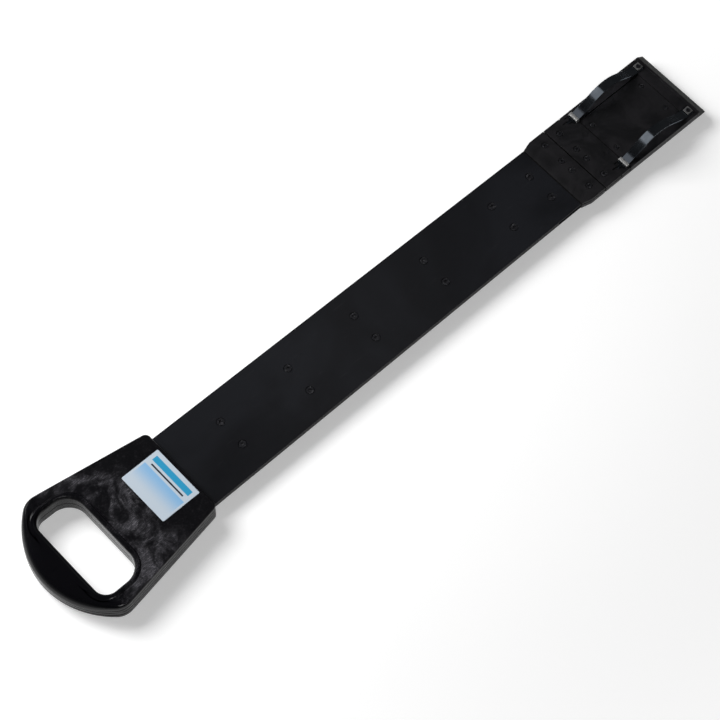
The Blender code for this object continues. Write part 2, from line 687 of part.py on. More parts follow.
def make_blade_screws(parent, finish):
    length = BLADE_THICKNESS - SCREW_FOOT_INSET
    profile = countersunk(SCREW_HEAD_RADIUS, SCREW_HEAD_HEIGHT, SCREW_SHANK_RADIUS, length)
    for row, x in enumerate(BLADE_SCREW_ROWS, 1):
        for side, label in ((1, "left"), (-1, "right")):
            bm = bmesh.new()
            turned(bm, profile, (x, side * BLADE_SCREW_SPREAD, 0))
            add_piece(f"blade_screw_{row}_{label}", bm, parent, finish)


def neck_outline(start, end, narrow):
    """The neck's plan: it flares from the blade's width to the head's."""
    flare = start + NECK_FLARE
    wide = HEAD_WIDTH / 2
    return [(start, -narrow), (flare, -wide), (end, -wide), (end, wide), (flare, wide), (start, narrow)]


def hinge_screw_places(offset):
    return [(HINGE_X + offset, y) for y in HINGE_SCREW_ACROSS]


def hinge_screw_cutter(name, offset, parent):
    bm = bmesh.new()
    depth = HEAD_RISE + HEAD_DEPTH - HINGE_SCREW_FLOOR - OVERCUT
    profile = countersunk(HINGE_SCREW_HEAD_RADIUS, SCREW_HEAD_HEIGHT, SCREW_SHANK_RADIUS, depth, GAP)
    for x, y in hinge_screw_places(offset):
        turned(bm, profile, (x, y, HEAD_RISE))
    return add_cutter(name, bm, parent)


def cable_groove(name, start, end, parent):
    """Open-topped groove for the cable in the neck block and the head base."""
    half = CABLE_RADIUS + GAP
    bm = bmesh.new()
    box(bm, (start, -half, -CABLE_DEPTH - half), (end, half, OVERCUT))
    return add_cutter(name, bm, parent)


def make_neck(parent, finish, leaf_finish, blade_holes):
    start = BLADE_LENGTH + GAP
    narrow = blade_half_width(BLADE_LENGTH)
    screws = hinge_screw_cutter("neck_screw_holes", -HINGE_SCREW_OFFSET, parent)

    bm = bmesh.new()
    prism(bm, neck_outline(start, NECK_END, narrow), -HEAD_DEPTH, BLOCK_TOP)
    block = add_piece("neck_block", bm, parent, finish, smooth=False)
    tongue = bmesh.new()
    root = BLADE_LENGTH - TONGUE_LENGTH
    half = narrow - TONGUE_INSET
    box(tongue, (root, -half, CORE_BOTTOM), (start + TONGUE_ROOT, half, BLOCK_TOP - TONGUE_STEP))
    joined = block.modifiers.new("tongue", "BOOLEAN")
    joined.operation = "UNION"
    joined.solver = "EXACT"
    joined.object = add_cutter("neck_tongue", tongue, parent)
    cut(block, screws)
    cut(block, blade_holes)
    cut(block, cable_groove("neck_groove", root - OVERCUT, NECK_END + OVERCUT, parent))

    ramp_end = start + NECK_RAMP
    bm = bmesh.new()
    prism(bm, neck_outline(start, NECK_END, narrow), COVER_BOTTOM, HEAD_RISE)
    cover = add_piece("neck_cover", bm, parent, finish, smooth=False)
    wedge = bmesh.new()
    wide = HEAD_WIDTH
    above = HEAD_RISE + OVERCUT
    profile = [(start - OVERCUT, 0.0), (start, 0.0), (ramp_end, HEAD_RISE), (ramp_end, above),
               (start - OVERCUT, above)]
    loft(wedge, [[(x, y, z) for x, z in profile] for y in (-wide, wide)])
    cut(cover, add_cutter("neck_ramp", wedge, parent))
    cut(cover, screws)

    bm = bmesh.new()
    half_length = LEAF_LENGTH / 2
    box(bm, (HINGE_X - half_length, -LEAF_WIDTH / 2, HINGE_Z - LEAF_THICKNESS / 2),
        (HINGE_X + half_length, LEAF_WIDTH / 2, HINGE_Z + LEAF_THICKNESS / 2))
    leaf = add_piece("hinge_leaf", bm, parent, leaf_finish, smooth=False)
    cut(leaf, screws)
    cut(leaf, hinge_screw_cutter("leaf_far_holes", HINGE_SCREW_OFFSET, parent))


def make_hinge_screws(label, offset, parent, finish):
    depth = HEAD_RISE + HEAD_DEPTH - HINGE_SCREW_FLOOR - GAP
    profile = countersunk(HINGE_SCREW_HEAD_RADIUS, SCREW_HEAD_HEIGHT, SCREW_SHANK_RADIUS, depth)
    for number, (x, y) in enumerate(hinge_screw_places(offset), 1):
        bm = bmesh.new()
        turned(bm, profile, (x, y, HEAD_RISE))
        add_piece(f"{label}_screw_{number}", bm, parent, finish)


def cover_screw_places():
    ends = (FRAME_START + COVER_SCREW_INSET, SENSOR_COVER_END - COVER_SCREW_INSET)
    return [(x, side * COVER_SCREW_ACROSS) for x in ends for side in (1, -1)]


def cover_screw_cutter(parent):
    bm = bmesh.new()
    depth = TROUGH_Z - BLOCK_TOP + COVER_SCREW_REACH - OVERCUT
    profile = countersunk(COVER_SCREW_HEAD_RADIUS, SCREW_HEAD_HEIGHT, COVER_SCREW_SHANK_RADIUS, depth, GAP)
    for x, y in cover_screw_places():
        turned(bm, profile, (x, y, TROUGH_Z))
    return add_cutter("cover_screw_holes", bm, parent)


def make_head_base(head, finish, rear_holes, cover_holes):
    """Lower part of the head: it runs to the wedge tip and holds the electrode and the board."""
    half = HEAD_WIDTH / 2
    land = BEVEL_X - TIP_LAND
    profile = [(HEAD_START, -HEAD_DEPTH), (TIP_X, -HEAD_DEPTH), (TIP_X, -HEAD_DEPTH + TIP_THICKNESS),
               (BEVEL_X, HEAD_RISE), (land, HEAD_RISE), (land, BLOCK_TOP), (HEAD_START, BLOCK_TOP)]
    bm = bmesh.new()
    loft(bm, [[(x, y, z) for x, z in profile] for y in (-half, half)])
    base = add_piece("head_base", bm, head, finish, smooth=False)

    pocket = bmesh.new()
    board = (BOARD_LENGTH / 2 + GAP, BOARD_WIDTH / 2 + GAP)
    box(pocket, (SENSOR_PLATE_X - board[0], -board[1], BLOCK_TOP - POCKET_DEPTH),
        (SENSOR_PLATE_X + board[0], board[1], BLOCK_TOP + OVERCUT))
    cut(base, add_cutter("board_pocket", pocket, head))
    recess = bmesh.new()
    plate = (PLATE_LENGTH / 2 + GAP, PLATE_WIDTH / 2 + GAP)
    box(recess, (SENSOR_PLATE_X - plate[0], -plate[1], -HEAD_DEPTH - OVERCUT),
        (SENSOR_PLATE_X + plate[0], plate[1], -HEAD_DEPTH + PLATE_SHEET + GAP))
    cut(base, add_cutter("electrode_recess", recess, head))
    cut(base, rear_holes)
    cut(base, cover_holes)
    cut(base, cable_groove("head_groove", HEAD_START - OVERCUT, SENSOR_PLATE_X - board[0] + OVERCUT, head))
    cut(base, spring_seat_cutter("base_rivet_holes", head))


def spring_seat_cutter(name, head):
    """Holes for the spring rivets' shanks."""
    bm = bmesh.new()
    radius = RIVET_RADIUS + GAP
    for side in (1, -1):
        profile = [(radius, BLOCK_TOP - RIVET_REACH - GAP), (radius, HEAD_RISE + OVERCUT)]
        turned(bm, profile, (RIVET_X, side * SPRING_ACROSS, 0))
    return add_cutter(name, bm, head)


def clip_leg_cutter(name, head):
    """Slots that the clips' legs stand in."""
    bm = bmesh.new()
    outer = clip_half_width() + GAP
    inner = clip_half_width() - CLIP_SHEET - GAP
    reach = CLIP_LENGTH / 2 + GAP
    for side in (1, -1):
        for leg in (1, -1):
            y = side * SPRING_ACROSS
            near, far = sorted((y + leg * inner, y + leg * outer))
            box(bm, (CLIP_X - reach, near, COVER_BOTTOM - OVERCUT),
                (CLIP_X + reach, far, HEAD_RISE + OVERCUT))
    return add_cutter(name, bm, head)


def clip_half_width():
    return SPRING_WIDTH / 2 + GAP + CLIP_SHEET


def trough_cutter(name, head):
    """Shallow troughs under the springs, and the slots that take their tongues."""
    bm = bmesh.new()
    half = TROUGH_WIDTH / 2
    start = SHOULDER_X - SPRING_SLIDE - GAP
    end = RIVET_X + SPRING_TAB + OVERCUT
    slot = SPRING_TONGUE_WIDTH / 2 + SPRING_CLEARANCE
    slot_start = FOOT_X - SPRING_TONGUE_LENGTH - SPRING_SLIDE - GAP
    for side in (1, -1):
        y = side * SPRING_ACROSS
        outline = [(slot_start, y - slot), (start, y - slot), (start, y - half), (end, y - half),
                   (end, y + half), (start, y + half), (start, y + slot), (slot_start, y + slot)]
        prism(bm, outline, TROUGH_Z, HEAD_RISE + OVERCUT)
    return add_cutter(name, bm, head)


def make_rear_cover(head, finish, rear_holes):
    half = HEAD_WIDTH / 2
    bm = bmesh.new()
    box(bm, (HEAD_START, -half, COVER_BOTTOM), (REAR_COVER_END, half, HEAD_RISE))
    cover = add_piece("head_rear_cover", bm, head, finish, smooth=False)
    cut(cover, rear_holes)
    cut(cover, trough_cutter("rear_trough", head))
    cut(cover, clip_leg_cutter("rear_clip_slots", head))
    dimples = bmesh.new()
    for side in (1, -1):
        place = (HINGE_X + DIMPLE_OFFSET, side * DIMPLE_ACROSS, HEAD_RISE)
        profile = [(DIMPLE_FLOOR_RADIUS, -DIMPLE_DEPTH), (DIMPLE_RADIUS, 0.0), (DIMPLE_RADIUS, OVERCUT)]
        turned(dimples, profile, place)
    cut(cover, add_cutter("dimples", dimples, head))


def make_head_frame(head, finish):
    """U-shaped top frame: two rails with the spring troughs and the bar before the tip."""
    half = HEAD_WIDTH / 2
    inner = SENSOR_COVER_WIDTH / 2 + GAP
    end = BEVEL_X - TIP_LAND - GAP
    bar = SENSOR_COVER_END + GAP
    outline = [(FRAME_START, -half), (end, -half), (end, half), (FRAME_START, half),
               (FRAME_START, inner), (bar, inner), (bar, -inner), (FRAME_START, -inner)]
    bm = bmesh.new()
    prism(bm, outline, BLOCK_TOP + GAP, HEAD_RISE)
    frame = add_piece("head_frame", bm, head, finish, smooth=False)
    cut(frame, trough_cutter("frame_trough", head))
    cut(frame, clip_leg_cutter("frame_clip_slots", head))
    cut(frame, spring_seat_cutter("frame_rivet_holes", head))


def make_sensor_parts(head, cover_finish, plate_finish, board_finish, cover_holes):
    half = SENSOR_COVER_WIDTH / 2
    bm = bmesh.new()
    box(bm, (FRAME_START, -half, BLOCK_TOP + GAP), (SENSOR_COVER_END, half, TROUGH_Z))
    cover = add_piece("sensor_cover", bm, head, cover_finish, smooth=False)
    cut(cover, cover_holes)

    bm = bmesh.new()
    size = (PLATE_LENGTH / 2, PLATE_WIDTH / 2)
    corners = []
    for along, across in ((-1, -1), (1, -1), (1, 1), (-1, 1)):
        corners.append((SENSOR_PLATE_X + along * size[0], across * size[1], PLATE_CORNER))
    prism(bm, rounded_outline(corners, math.radians(30)), -HEAD_DEPTH, -HEAD_DEPTH + PLATE_SHEET)
    add_piece("sensor_plate", bm, head, plate_finish, smooth=False)

    bm = bmesh.new()
    floor = BLOCK_TOP - POCKET_DEPTH + GAP
    box(bm, (SENSOR_PLATE_X - BOARD_LENGTH / 2, -BOARD_WIDTH / 2, floor),
        (SENSOR_PLATE_X + BOARD_LENGTH / 2, BOARD_WIDTH / 2, floor + BOARD_THICKNESS))
    add_piece("sensor_board", bm, head, board_finish, smooth=False)


def make_cover_screws(head, finish):
    depth = TROUGH_Z - BLOCK_TOP + COVER_SCREW_REACH - GAP
    profile = countersunk(COVER_SCREW_HEAD_RADIUS, SCREW_HEAD_HEIGHT, COVER_SCREW_SHANK_RADIUS, depth)
    for number, (x, y) in enumerate(cover_screw_places(), 1):
        bm = bmesh.new()
        turned(bm, profile, (x, y, TROUGH_Z))
        add_piece(f"cover_screw_{number}", bm, head, finish)


def bow_height(x):
    """Height of the spring's middle surface above its flat ends: one smooth arch."""
    near = FOOT_X + SPRING_FOOT
    far = RIVET_X - SPRING_TAB
    if x <= near or x >= far:
        return 0.0
    share = (x - CROWN_X) / ((far - CROWN_X) if x > CROWN_X else (CROWN_X - near))
    return SPRING_HEIGHT * math.cos(math.pi / 2 * abs(share)) ** BOW_SHARPNESS


def spring_strip(bm, stations, y):
    """A strip through (x, half width) stations that follows the bow."""
    rings = []
    for i, (x, half) in enumerate(stations):
        climb = bow_height(x + SLOPE_STEP) - bow_height(x - SLOPE_STEP)
        slope = math.atan2(climb, 2 * SLOPE_STEP)
        z = SPRING_MID_Z + bow_height(x)
        dx = -math.sin(slope) * SPRING_THICKNESS / 2
        dz = math.cos(slope) * SPRING_THICKNESS / 2
        rings.append([(x - dx, y - half, z - dz), (x - dx, y + half, z - dz),
                      (x + dx, y + half, z + dz), (x + dx, y - half, z + dz)])
    loft(bm, rings)


def make_spring(label, side, head, finishes):
    steel, clip_finish, washer_finish, rivet_finish = finishes
    y = side * SPRING_ACROSS
    half = SPRING_WIDTH / 2
    far_pivot = pivot(f"{label}_spring_root", (RIVET_X, y, SPRING_MID_Z), head)
    near_pivot = pivot(f"{label}_spring_crown", (CROWN_X, y, CROWN_Z), far_pivot)

    start = CROWN_X + CROWN_GAP / 2
    end = RIVET_X - SPRING_TAB
    stations = [(start + (end - start) * i / BOW_STEPS, half) for i in range(BOW_STEPS + 1)]
    stations.append((RIVET_X + SPRING_TAB, half))
    bm = bmesh.new()
    spring_strip(bm, stations, y)
    far = add_piece(f"{label}_spring_far", bm, far_pivot, steel, smooth=False)
    hole = bmesh.new()
    turned(hole, [(SPRING_HOLE_RADIUS, TROUGH_Z), (SPRING_HOLE_RADIUS, CROWN_Z)], (RIVET_X, y, 0))
    cut(far, add_cutter(f"{label}_spring_hole", hole, far_pivot))

    near_start = FOOT_X + SPRING_FOOT
    end = CROWN_X - CROWN_GAP / 2
    tongue = SPRING_TONGUE_WIDTH / 2
    taper = half - tongue
    stations = [(FOOT_X - SPRING_TONGUE_LENGTH, tongue), (SHOULDER_X - taper * SHOULDER_SLOPE, tongue),
                (SHOULDER_X, half)]
    stations += [(near_start + (end - near_start) * i / BOW_STEPS, half) for i in range(BOW_STEPS + 1)]
    bm = bmesh.new()
    spring_strip(bm, stations, y)
    add_piece(f"{label}_spring_near", bm, near_pivot, steel, smooth=False)

    low = SPRING_MID_Z + SPRING_THICKNESS / 2 + SPRING_CLEARANCE
    size = WASHER_SIDE / 2
    bm = bmesh.new()
    box(bm, (RIVET_X - size, y - size, low), (RIVET_X + size, y + size, low + WASHER_THICKNESS))
    washer = add_piece(f"{label}_washer", bm, head, washer_finish, smooth=False)
    hole = bmesh.new()
    profile = [(RIVET_RADIUS + GAP, low - OVERCUT), (RIVET_RADIUS + GAP, low + WASHER_THICKNESS + OVERCUT)]
    turned(hole, profile, (RIVET_X, y, 0))
    cut(washer, add_cutter(f"{label}_washer_hole", hole, head))

    seat = low + WASHER_THICKNESS + GAP
    bm = bmesh.new()
    profile = [(RIVET_RADIUS, BLOCK_TOP - RIVET_REACH), (RIVET_RADIUS, seat), (RIVET_HEAD_RADIUS, seat),
               (RIVET_HEAD_RADIUS, seat + RIVET_RIM_HEIGHT), (RIVET_CROWN_RADIUS, seat + RIVET_HEAD_HEIGHT)]
    turned(bm, profile, (RIVET_X, y, 0))
    add_piece(f"{label}_rivet", bm, head, rivet_finish)

    outer = clip_half_width()
    inner = outer - CLIP_SHEET
    foot = COVER_BOTTOM + CLIP_LEG_FOOT
    roof = TROUGH_Z + CLIP_HEADROOM + SPRING_CLEARANCE
    outline = [(-outer, foot), (-inner, foot), (-inner, roof), (inner, roof), (inner, foot), (outer, foot),
               (outer, roof + CLIP_SHEET), (-outer, roof + CLIP_SHEET)]
    bm = bmesh.new()
    reach = CLIP_LENGTH / 2
    loft(bm, [[(x, y + across, z) for across, z in outline] for x in (CLIP_X - reach, CLIP_X + reach)])
    add_piece(f"{label}_clip", bm, head, clip_finish, smooth=False)


def build():
    clear_scene()
    black_shell = material("handle plastic", (0.012, 0.012, 0.014), 0.3)
    deck = material("handle deck", (0.018, 0.018, 0.02), 0.45)
    plate = material("blade black", (0.014, 0.014, 0.017), 0.5)
    core = material("core plastic", (0.03, 0.03, 0.03), 0.6)
    screw = material("black screw", (0.02, 0.02, 0.022), 0.35, 0.6)
    head_black = material("head plastic", (0.016, 0.016, 0.018), 0.45)
    steel = material("blued spring steel", (0.03, 0.035, 0.045), 0.2, 0.9)
    bright = material("bright steel", (0.7, 0.7, 0.7), 0.25, 1.0)
    label = material("pale label", (0.55, 0.75, 0.85), 0.35)
    board = material("circuit board", (0.02, 0.2, 0.08), 0.5)
    jacket = material("cable jacket", (0.015, 0.015, 0.015), 0.6)

    datum = pivot("datum", (0, 0, 0))
    datum.location = (-(TIP_X - HANDLE_LENGTH) / 2, 0, -BOTTOM_Z)
    head = pivot("head_hinge", (HINGE_X, 0, HINGE_Z), datum)

    make_handle(datum, black_shell, deck)
    make_label(datum, label)
    make_handle_screws(datum, screw)
    make_jack(datum, black_shell, bright)
    make_cable_saddle(datum, core)
    make_cables(datum, head, jacket)
    make_blade(datum, plate, core)
    make_blade_screws(datum, screw)
    make_neck(datum, head_black, steel, bpy.data.objects["blade_holes"])
    make_hinge_screws("neck", -HINGE_SCREW_OFFSET, datum, screw)

    rear_holes = hinge_screw_cutter("rear_screw_holes", HINGE_SCREW_OFFSET, head)
    cover_holes = cover_screw_cutter(head)
    make_head_base(head, head_black, rear_holes, cover_holes)
    make_rear_cover(head, head_black, rear_holes)
    make_head_frame(head, head_black)
    make_sensor_parts(head, head_black, bright, board, cover_holes)
    make_hinge_screws("rear", HINGE_SCREW_OFFSET, head, screw)
    make_cover_screws(head, screw)
    for name, side in (("left", 1), ("right", -1)):
        make_spring(name, side, head, (steel, bright, bright, screw))


build()
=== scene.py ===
import json
import math

import bmesh
import bpy
from mathutils import Matrix, Vector


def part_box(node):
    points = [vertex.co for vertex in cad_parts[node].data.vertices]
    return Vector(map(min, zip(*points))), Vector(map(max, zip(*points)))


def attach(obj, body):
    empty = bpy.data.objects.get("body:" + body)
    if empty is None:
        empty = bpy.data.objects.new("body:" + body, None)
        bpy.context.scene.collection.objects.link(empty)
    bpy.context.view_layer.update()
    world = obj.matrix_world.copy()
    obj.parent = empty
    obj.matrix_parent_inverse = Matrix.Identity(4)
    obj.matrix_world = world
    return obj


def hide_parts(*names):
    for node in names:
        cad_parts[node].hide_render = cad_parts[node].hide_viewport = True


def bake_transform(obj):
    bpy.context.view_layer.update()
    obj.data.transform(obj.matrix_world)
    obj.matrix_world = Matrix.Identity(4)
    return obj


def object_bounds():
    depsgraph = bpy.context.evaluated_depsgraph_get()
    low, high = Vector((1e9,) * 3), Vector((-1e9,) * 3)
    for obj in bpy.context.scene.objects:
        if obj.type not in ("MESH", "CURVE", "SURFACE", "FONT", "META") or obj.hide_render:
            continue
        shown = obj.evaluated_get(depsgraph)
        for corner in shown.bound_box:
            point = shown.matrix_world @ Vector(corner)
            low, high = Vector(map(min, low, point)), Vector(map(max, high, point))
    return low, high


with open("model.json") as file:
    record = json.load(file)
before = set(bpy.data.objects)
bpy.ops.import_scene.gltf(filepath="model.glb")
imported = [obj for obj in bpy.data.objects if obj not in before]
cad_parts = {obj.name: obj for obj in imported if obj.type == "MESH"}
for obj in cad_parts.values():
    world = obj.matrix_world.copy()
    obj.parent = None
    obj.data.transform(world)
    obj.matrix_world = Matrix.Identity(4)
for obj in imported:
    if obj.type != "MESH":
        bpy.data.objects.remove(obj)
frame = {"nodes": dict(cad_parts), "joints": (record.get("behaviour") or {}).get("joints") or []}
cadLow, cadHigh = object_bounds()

mm = 0.001
sides = ("left", "right")
screwNodes = {
    "blade_screws": [f"blade_screw_{row}_{side}" for row in range(1, 7) for side in sides],
    "neck_screws": [f"neck_screw_{number}" for number in range(1, 5)],
    "rear_screws": [f"rear_screw_{number}" for number in range(1, 5)],
    "cover_screws": [f"cover_screw_{number}" for number in range(1, 5)],
    "handle_screws": [f"handle_screw_{end}_{side}" for end in ("front", "rear") for side in sides],
    "spring_rivets": [f"{side}_rivet" for side in sides],
}


def boxOf(node):
    low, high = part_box(node)
    return Vector(low), Vector(high)


def middle(node):
    low, high = boxOf(node)
    return (low + high) / 2


def jointPlace(name):
    return next(Vector(joint["pos_m"]) for joint in frame["joints"] if joint["name"] == name)


handleLow, handleHigh = boxOf("handle_upper_shell")
lowerLow = boxOf("handle_lower_shell")[0]
bladeLow, bladeHigh = boxOf("blade_top_plate")
bladeFoot = boxOf("blade_bottom_plate")[0].z
labelLow, labelHigh = boxOf("rating_label")
tipX = boxOf("head_base")[1].x
hingeX = jointPlace("head_tilt").x
frontX = handleHigh.x
middleZ = (handleHigh.z + lowerLow.z) / 2         # where the two handle shells part
faceHeight = (handleHigh.z - lowerLow.z) / 2      # from there to either face


# the camera comes first, because everything is judged through it
cameraValues = {
    "place": (-0.91835, -0.9953, 2.482725),
    "tilt": 28.0,          # degrees from straight down
    "turn": -42.2,         # degrees about the vertical
    "lens": 150.0,
}


def makeCamera(values):
    data = bpy.data.cameras.new("camera")
    data.lens = values["lens"]
    data.sensor_width = 36.0
    data.clip_end = 50.0
    camera = bpy.data.objects.new("camera", data)
    bpy.context.collection.objects.link(camera)
    camera.location = values["place"]
    camera.rotation_euler = (math.radians(values["tilt"]), 0, math.radians(values["turn"]))
    bpy.context.scene.camera = camera


makeCamera(cameraValues)
print("camera set")


# one value on a node tree, usable in Python sums
class Field:
    def __init__(self, tree, out=None):
        self.tree = tree
        self.out = out

    def make(self, kind, settings, inputs, result=0):
        node = self.tree.nodes.new(kind)
        for name, value in settings.items():
            setattr(node, name, value)
        for name, value in inputs.items():
            if isinstance(value, Field):
                self.tree.links.new(value.out, node.inputs[name])
            else:
                node.inputs[name].default_value = value
        return Field(self.tree, node.outputs[result])

    def math(self, operation, *values):
        inputs = dict(enumerate((self, *values)))
        return self.make("ShaderNodeMath", {"operation": operation}, inputs)

    def __add__(self, other):
        return self.math("ADD", other)

    def __mul__(self, other):
        return self.math("MULTIPLY", other)

    def __sub__(self, other):
        return self.math("SUBTRACT", other)

    def __truediv__(self, other):
        return self.math("DIVIDE", other)

    __radd__ = __add__
    __rmul__ = __mul__

    def __rsub__(self, other):
        return self.math("MULTIPLY", -1.0).math("ADD", other)

    def bounded(self):
        return self.math("MAXIMUM", 0.0).math("MINIMUM", 1.0)

    def step(self, low, high):
        settings = {"interpolation_type": "SMOOTHSTEP"}
        return self.make("ShaderNodeMapRange", settings, {"Value": self, "From Min": low, "From Max": high})

    def axis(self, letter):
        return self.make("ShaderNodeSeparateXYZ", {}, {0: self}, letter)

    def scaled(self, sizes):
        return self.make("ShaderNodeMapping", {}, {"Vector": self, "Scale": sizes})

    def noise(self, scale, detail=4.0, rough=0.55, warp=0.0):
        inputs = {"Vector": self, "Scale": scale, "Detail": detail, "Roughness": rough, "Distortion": warp}
        return self.make("ShaderNodeTexNoise", {}, inputs)

    def mixed(self, first, second):
        inputs = {}
        for name, value in ((6, first), (7, second)):
            inputs[name] = value if isinstance(value, Field) else (*value, 1.0)
        inputs[0] = self
        return self.make("ShaderNodeMix", {"data_type": "RGBA"}, inputs, 2)


def material(name, values, paint):
    made = bpy.data.materials.new(name)
    made.use_nodes = True
    tree = made.node_tree
    shader = tree.nodes["Principled BSDF"]
    for socket in ("Metallic", "IOR", "Coat Weight", "Coat Roughness"):
        if socket in values:
            shader.inputs[socket].default_value = values[socket]
    place = Field(tree).make("ShaderNodeTexCoord", {}, {}, "Object")
    for socket, value in paint(place, values).items():
        if socket == "bump":
            height, depth = value
            value = place.make("ShaderNodeBump", {}, {"Height": height, "Distance": depth, "Strength": 1.0})
            socket = "Normal"
        tree.links.new(value.out, shader.inputs[socket])
    return made


handleValues = {
    "frontWidth": 99.0 * mm,
    "frontCorner": 6.0 * mm,
    "rearWidth": 142.0 * mm,
    "rearCorner": 19.0 * mm,
    "gripRadius": 85.0 * mm,
    "gripAngle": 50.0,            # degrees either side of the middle
    "barWidth": 29.5 * mm,        # of the grip, behind the opening
    "openingLength": 45.5 * mm,
    "openingWidth": 104.0 * mm,
    "gripCorner": 13.0 * mm,
    "deckCorner": 20.0 * mm,
    "wall": 3.2 * mm,
    "parting": 0.15 * mm,         # from the middle plane to either shell
    "partingChamfer": (0.7 * mm, 0.4 * mm),
    "grooveWidth": 1.3 * mm,
    "turnStart": 88.0,            # degrees from the blade's direction: flat deck before, round grip after
    "turnEnd": 140.0,
    "bladeClearance": 0.3 * mm,
    "jackHole": 4.0 * mm,
    "labelClearance": 0.35 * mm,
    "labelDepth": 0.45 * mm,
    "labelCorner": 1.4 * mm,
}
openingX = handleLow.x + handleValues["barWidth"] + handleValues["openingLength"] / 2


shellValues = {
    "black": (0.0026, 0.0025, 0.0034),
    "scuff": (0.135, 0.131, 0.146),
    "scuffAmount": 1.25,
    "wallPale": (0.095, 0.095, 0.097),
    "wallLines": ((3.1, 3.9), (5.9, 7.4), (9.4, 10.3), (12.2, 13.2), (16.0, 17.6)),    # mm below the deck
    "lineSoft": 0.12,                   # mm, at the lines' edges
    "IOR": 1.36,
    "gripGloss": 0.16,
    "deckGloss": 0.36,
    "wallGloss": 0.3,
    "gripEndX": frontX - 118 * mm,      # the deck's grain fades out behind here
    "rimCorner": 18.0 * mm,             # of the glossy band round the opening
    "rimWidth": 5.5 * mm,
    "labelShade": (54 * mm, 34 * mm),   # from the front edge, where the scuffs fade out
    "grain": 1500.0,
    "grainDepth": 0.00022,
}


def fromOpening(x, y, corner):
    # how far a place is outside the grip opening
    halfLength = handleValues["openingLength"] / 2 - corner
    halfWidth = handleValues["openingWidth"] / 2 - corner
    outX = ((x - openingX).math("ABSOLUTE") - halfLength).math("MAXIMUM", 0.0)
    outY = (y.math("ABSOLUTE") - halfWidth).math("MAXIMUM", 0.0)
    return (outX * outX + outY * outY).math("SQRT") - corner


def shellScuffs(place, behindLabel):
    cloudy = place.noise(28.0, 5.0, 0.6, 1.4).step(0.42, 0.66)
    wisps = place.scaled((1.0, 2.6, 1.0)).noise(75.0, 6.0, 0.7, 2.2).step(0.5, 0.74)
    strands = place.scaled((1.0, 4.0, 1.0)).noise(120.0, 5.0, 0.72, 3.0).step(0.5, 0.66)
    smoke = cloudy * 0.16 + wisps * 0.5 * (cloudy + 0.12)
    return (smoke + strands * cloudy * 0.85) * behindLabel


def paintShell(place, values):
    x, y, z = place.axis("X"), place.axis("Y"), place.axis("Z")
    gripEnd = values["gripEndX"]
    deck = x.step(gripEnd - 14 * mm, gripEnd + 10 * mm)
    top = z.step(handleHigh.z - 1.6 * mm, handleHigh.z - 0.7 * mm)
    rimWidth = values["rimWidth"]
    rim = fromOpening(x, y, values["rimCorner"]).step(rimWidth + mm, rimWidth - mm)
    fadeFrom, fadeTo = values["labelShade"]
    behindLabel = 1.0 - x.step(frontX - fadeFrom, frontX - fadeTo)
    scuff = (shellScuffs(place, behindLabel) * top * deck * values["scuffAmount"]).bounded()
    dust = (place.noise(520.0, 3.0, 0.6).step(0.52, 0.75) * deck * 0.08).bounded()
    colour = (scuff + dust).bounded().mixed(values["black"], values["scuff"])
    # pale bands painted round the outer wall at the listed depths below the deck, broken up by noise, kept
    # off the grip and the rim
    depth = (handleHigh.z - z) / mm
    soft = values["lineSoft"]
    lines = sum(depth.step(near - soft, near + soft) * depth.step(far + soft, far - soft)
                for near, far in values["wallLines"])
    paleBands = (lines * deck * (1.0 - rim) * (place.noise(90.0, 4.0, 0.6) + 0.35)).bounded()
    colour = paleBands.mixed(colour, values["wallPale"])
    colour = (rim * 0.8).bounded().mixed(colour, values["black"])
    gloss = deck * (values["deckGloss"] - values["gripGloss"]) + values["gripGloss"]
    gloss = gloss - deck * (1.0 - top) * (values["deckGloss"] - values["wallGloss"])
    gloss = gloss - (gloss - values["gripGloss"]) * rim * 0.85
    worn = place.noise(60.0, 3.0, 0.6) * 0.12 - 0.06
    rough = (gloss + worn).bounded()
    fine = place.noise(values["grain"], 2.0, 0.5)
    ripple = place.noise(55.0, 2.0, 0.5) * 0.5
    height = fine * deck * 0.8 + ripple * (1.0 - deck) * 0.9 + fine * 0.08
    return {"Base Color": colour, "Roughness": rough, "bump": (height, values["grainDepth"])}


bladeValues = {
    "dark": (0.0052, 0.0054, 0.0068),
    "pale": (0.0092, 0.0098, 0.0122),
    "gloss": 0.38,
    "IOR": 1.4,
    "scratch": (0.05, 0.05, 0.055),
}


def paintBlade(place, values):
    cloud = place.noise(9.0, 3.0, 0.55, 0.8)
    speckle = place.noise(900.0, 2.0, 0.5)
    streak = place.scaled((1.0, 22.0, 1.0)).noise(30.0, 5.0, 0.6).step(0.6, 0.82)
    hair = place.scaled((3.0, 60.0, 1.0)).noise(16.0, 2.0, 0.4, 0.4).step(0.7, 0.78)
    colour = cloud.step(0.35, 0.68).mixed(values["dark"], values["pale"])
    colour = (hair * 0.22 + streak * 0.1).bounded().mixed(colour, values["scratch"])
    rough = speckle * 0.12 + cloud * 0.1 + values["gloss"] - 0.1
    return {"Base Color": colour, "Roughness": rough.bounded(), "bump": (speckle, 0.00006)}


coreValues = {"dark": (0.008, 0.008, 0.008), "pale": (0.05, 0.047, 0.045), "gloss": 0.55}


def paintCore(place, values):
    layers = place.scaled((4.0, 4.0, 2400.0)).noise(1.0, 2.0, 0.5)
    flecks = place.noise(700.0, 3.0, 0.6)
    colour = (layers.step(0.35, 0.7) * 0.6 + flecks * 0.2).bounded().mixed(values["dark"], values["pale"])
    rough = (flecks * 0.2 + values["gloss"]).bounded()
    return {"Base Color": colour, "Roughness": rough, "bump": (layers, 0.0001)}


screwValues = {"dark": (0.015, 0.015, 0.018), "worn": (0.12, 0.12, 0.13), "gloss": 0.38, "Metallic": 0.4}


